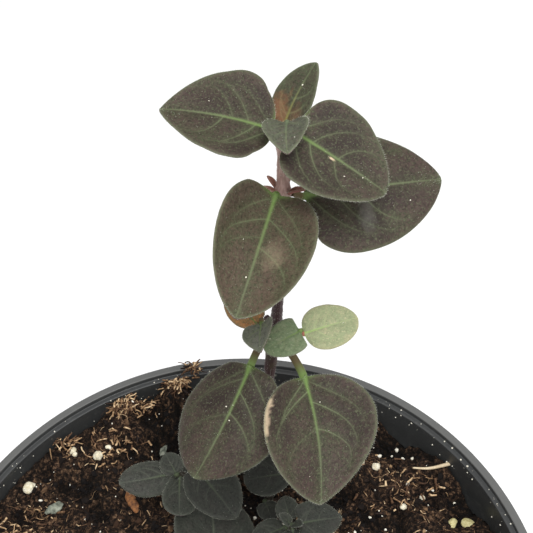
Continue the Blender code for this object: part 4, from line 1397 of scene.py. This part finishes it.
def stem_tube(path, radii, sides, draw, knots=()):
    """A stem with faint ridges and swollen joints: its points in rings, its faces and its ways outward."""
    path = np.asarray(path, float)
    radii = np.array(radii, float)
    for knot in knots:
        radii += KNOT_SWELL * np.exp(-((np.linalg.norm(path - np.array(knot), axis=1) / KNOT_REACH) ** 2))
    points, faces = threads(path[None], radii[None], sides)
    spokes = points.reshape(len(path), sides, 3) - path[:, None]
    ridge = 1 + 0.06 * np.cos(4 * 2 * math.pi * np.arange(sides) / sides)[None, :, None]
    jitter = 1 + 0.05 * draw.uniform(-1, 1, (len(path), 1, 1))
    return path[:, None] + spokes * ridge * jitter, faces, spokes


def stem_hairs(rings, spokes, count, reach, draw):
    """Hairs all over a stem, as (roots, tips)."""
    rows = draw.integers(0, rings.shape[0] - 1, count)
    columns = draw.integers(0, rings.shape[1], count)
    share = draw.random((count, 1))
    spots = rings[rows, columns] * (1 - share) + rings[rows + 1, columns] * share
    out = unit(spokes[rows, columns])
    lean = unit(out + np.array((0, 0, 0.25)) + draw.normal(0, 0.3, spots.shape))
    return [(spots - out * 0.05, spots + lean * draw.uniform(0.4, 1.0, (count, 1)) * reach)]


def stem_finish():
    look = Finish("stem_purple", 0.55, Specular_IOR_Level=0.3)
    place = look.place()
    streaks = look.node("Mapping", {"Vector": place, "Scale": (3.0, 3.0, 0.5)}).outputs[0]
    streaks = look.noise(streaks, 1.0, 4, 0.7)
    # Upper stem paler pink where young, and made lighter still as painted light where the leaves above shade
    # it
    young_and_painted_light = look.span(look.height(place), MIDDLE_NODE.z - 8, UPPER_NODE.z)
    base = look.mix(young_and_painted_light, (0.055, 0.028, 0.028), (0.58, 0.40, 0.34))
    dark = look.mix(young_and_painted_light, (0.020, 0.010, 0.012), (0.16, 0.05, 0.045))
    base = look.blend(base, dark, streaks, 0.4, 0.7, 0.0, 0.6)
    base = look.blend(base, (0.09, 0.085, 0.04), look.noise(place, 2.5, 3), 0.55, 0.75, 0.0, 0.5)
    look.bump(streaks, 0.08)
    return look.done(base)


def build_main_stem(hairs):
    """The main stem with its side twigs, the buds at its middle node, and the hairs of all of them."""
    draw = np.random.default_rng(STEM_SEED)
    line = spline([(*point, radius) for point, radius in MAIN_STEM], 14)
    knots = (LOWER_NODE, MIDDLE_NODE, UPPER_NODE)
    stems = [(line[:, :3], line[:, 3], STEM_SIDES, knots, STEM_HAIRS, STEM_HAIR_REACH)]
    for twig in SIDE_TWIGS:
        path = spline(twig, 8)
        stems.append((path, np.linspace(*TWIG_RADII, len(path)), TWIG_SIDES, (), TWIG_HAIRS, TWIG_HAIR_REACH))
    body = Body()
    found = []
    for path, radii, sides, knots, count, reach in stems:
        rings, faces, spokes = stem_tube(path, radii, sides, draw, knots)
        body.add(rings, faces)
        found += stem_hairs(rings, spokes, count, reach, draw)
    body.finish("stem", stem_finish(), "stem_purple", "main_stem")
    buds = Body()
    for heading, pitch, length in BUDS:
        turn = math.radians(heading)
        outward = Vector((math.cos(turn), math.sin(turn), 0.4))
        bud = Leaf(MIDDLE_NODE + outward * 0.9, heading, pitch, 0, length, length * 0.45, 15, 25, stalk=0.3)
        surface = add_leaf(buds, bud, MIDDLE_NODE + outward * 0.2, BUD_GRID, draw)
        found += leaf_hairs(bud, surface, draw, BUD_FACE_HAIRS)
    buds.finish("node_buds", leaf_finish("bud_skin", BUD_LOOK), "stem_purple")
    build_hairs("stem_hairs", found, hairs)


def shoot_path(shoot):
    """Stem of a low shoot: straight up out of the mix, then curving over to its top."""
    mouth = np.array((*shoot.foot, MIX_LEVEL + 3))
    top = np.array(shoot.top)
    bend = mouth + np.array((0, 0, (top[2] - mouth[2]) * 0.5))
    t = np.linspace(0, 1, 5)[:, None]
    curve = mouth * (1 - t) ** 2 + bend * 2 * t * (1 - t) + top * t * t
    return np.concatenate([[(*shoot.foot, STEM_FOOT)], curve])


def build_basal_shoots(hairs):
    """The low shoots, each with its stem and leaves in one piece and its hairs in another."""
    for number, (name, shoot) in enumerate(BASAL_SHOOTS.items()):
        # Painted shade: each shoot's colours are scaled down by how deep it lies in shade under the leaves
        # above
        look_of = Look(*(scaled(v, shoot.shade) if isinstance(v, tuple) else v for v in BASAL_LOOK))
        draw = np.random.default_rng(SHOOT_SEED + number)
        path = shoot_path(shoot)
        line = spline(path, 8)
        radii = shoot.radius * np.interp(line[:, 2], (MIX_LEVEL, shoot.top[2]), (1, 0.68))
        rings, faces, spokes = stem_tube(line, radii, TWIG_SIDES, draw)
        body = Body()
        body.add(rings, faces, flat=rings.reshape(-1, 3), **STEM_VALUES)
        found = stem_hairs(rings, spokes, SHOOT_HAIRS, TWIG_HAIR_REACH, draw)
        for leaf in shoot.leaves:
            foot = min(path, key=lambda point: np.linalg.norm(point - np.array(leaf.base)))
            grid = LARGE_GRID if leaf.length > LARGE_LOW_LEAF else LOW_GRID
            found += leaf_hairs(leaf, add_leaf(body, leaf, foot, grid, draw), draw)
        body.finish(f"{name}_leaves", leaf_finish(f"{name}_skin", look_of), "basal_green", name)
        build_hairs(f"{name}_hairs", found, hairs)


def build_stage():
    """Pale floor, soft light from above, and the camera at the photograph's angle."""
    scene = bpy.context.scene
    shape = bmesh.new()
    bmesh.ops.create_circle(shape, cap_ends=True, radius=FLOOR_RADIUS, segments=64)
    floor = add_object("floor", mesh_of("floor", shape))
    look = Finish("floor_white", 0.9, Specular_IOR_Level=0.1)
    floor.data.materials.append(look.done((0.92, 0.92, 0.92)))

    world = bpy.data.worlds.new("studio")
    world.use_nodes = True
    world.node_tree.nodes["Background"].inputs["Color"].default_value = (1.0, 1.0, 1.0, 1.0)
    world.node_tree.nodes["Background"].inputs["Strength"].default_value = SKY_STRENGTH
    scene.world = world
    for name, place, size, power in LAMPS:
        light = bpy.data.lights.new(name, "AREA")
        light.size = size
        light.energy = power
        lamp = add_object(name, light)
        lamp.location = place
        lamp.rotation_mode = "QUATERNION"
        lamp.rotation_quaternion = (LAMP_AIM - Vector(place)).to_track_quat("-Z", "Y")

    camera = add_object("camera", bpy.data.cameras.new("camera"))
    camera.data.sensor_width = SENSOR
    camera.data.lens = FOCAL_PIXELS / PHOTO_SIZE * SENSOR
    camera.data.clip_start = 0.01
    look_down = Matrix.Rotation(math.radians(90 - CAMERA_DOWN), 4, "X")
    roll = Matrix.Rotation(math.radians(CAMERA_ROLL), 4, "Z")
    camera.matrix_world = Matrix.Translation(CAMERA_PLACE * MM) @ look_down @ roll
    scene.camera = camera
    scene.view_settings.view_transform = "Standard"


mix_draw = np.random.default_rng(SEED)
plant_hairs = hair_finish()
build_pot()
build_mix_surface()
build_crumbs(mix_draw)
build_fibres(mix_draw)
build_specks(mix_draw)
build_grains(mix_draw)
build_straw()
build_main_stem(plant_hairs)
build_main_leaves(plant_hairs)
build_basal_shoots(plant_hairs)
build_stage()
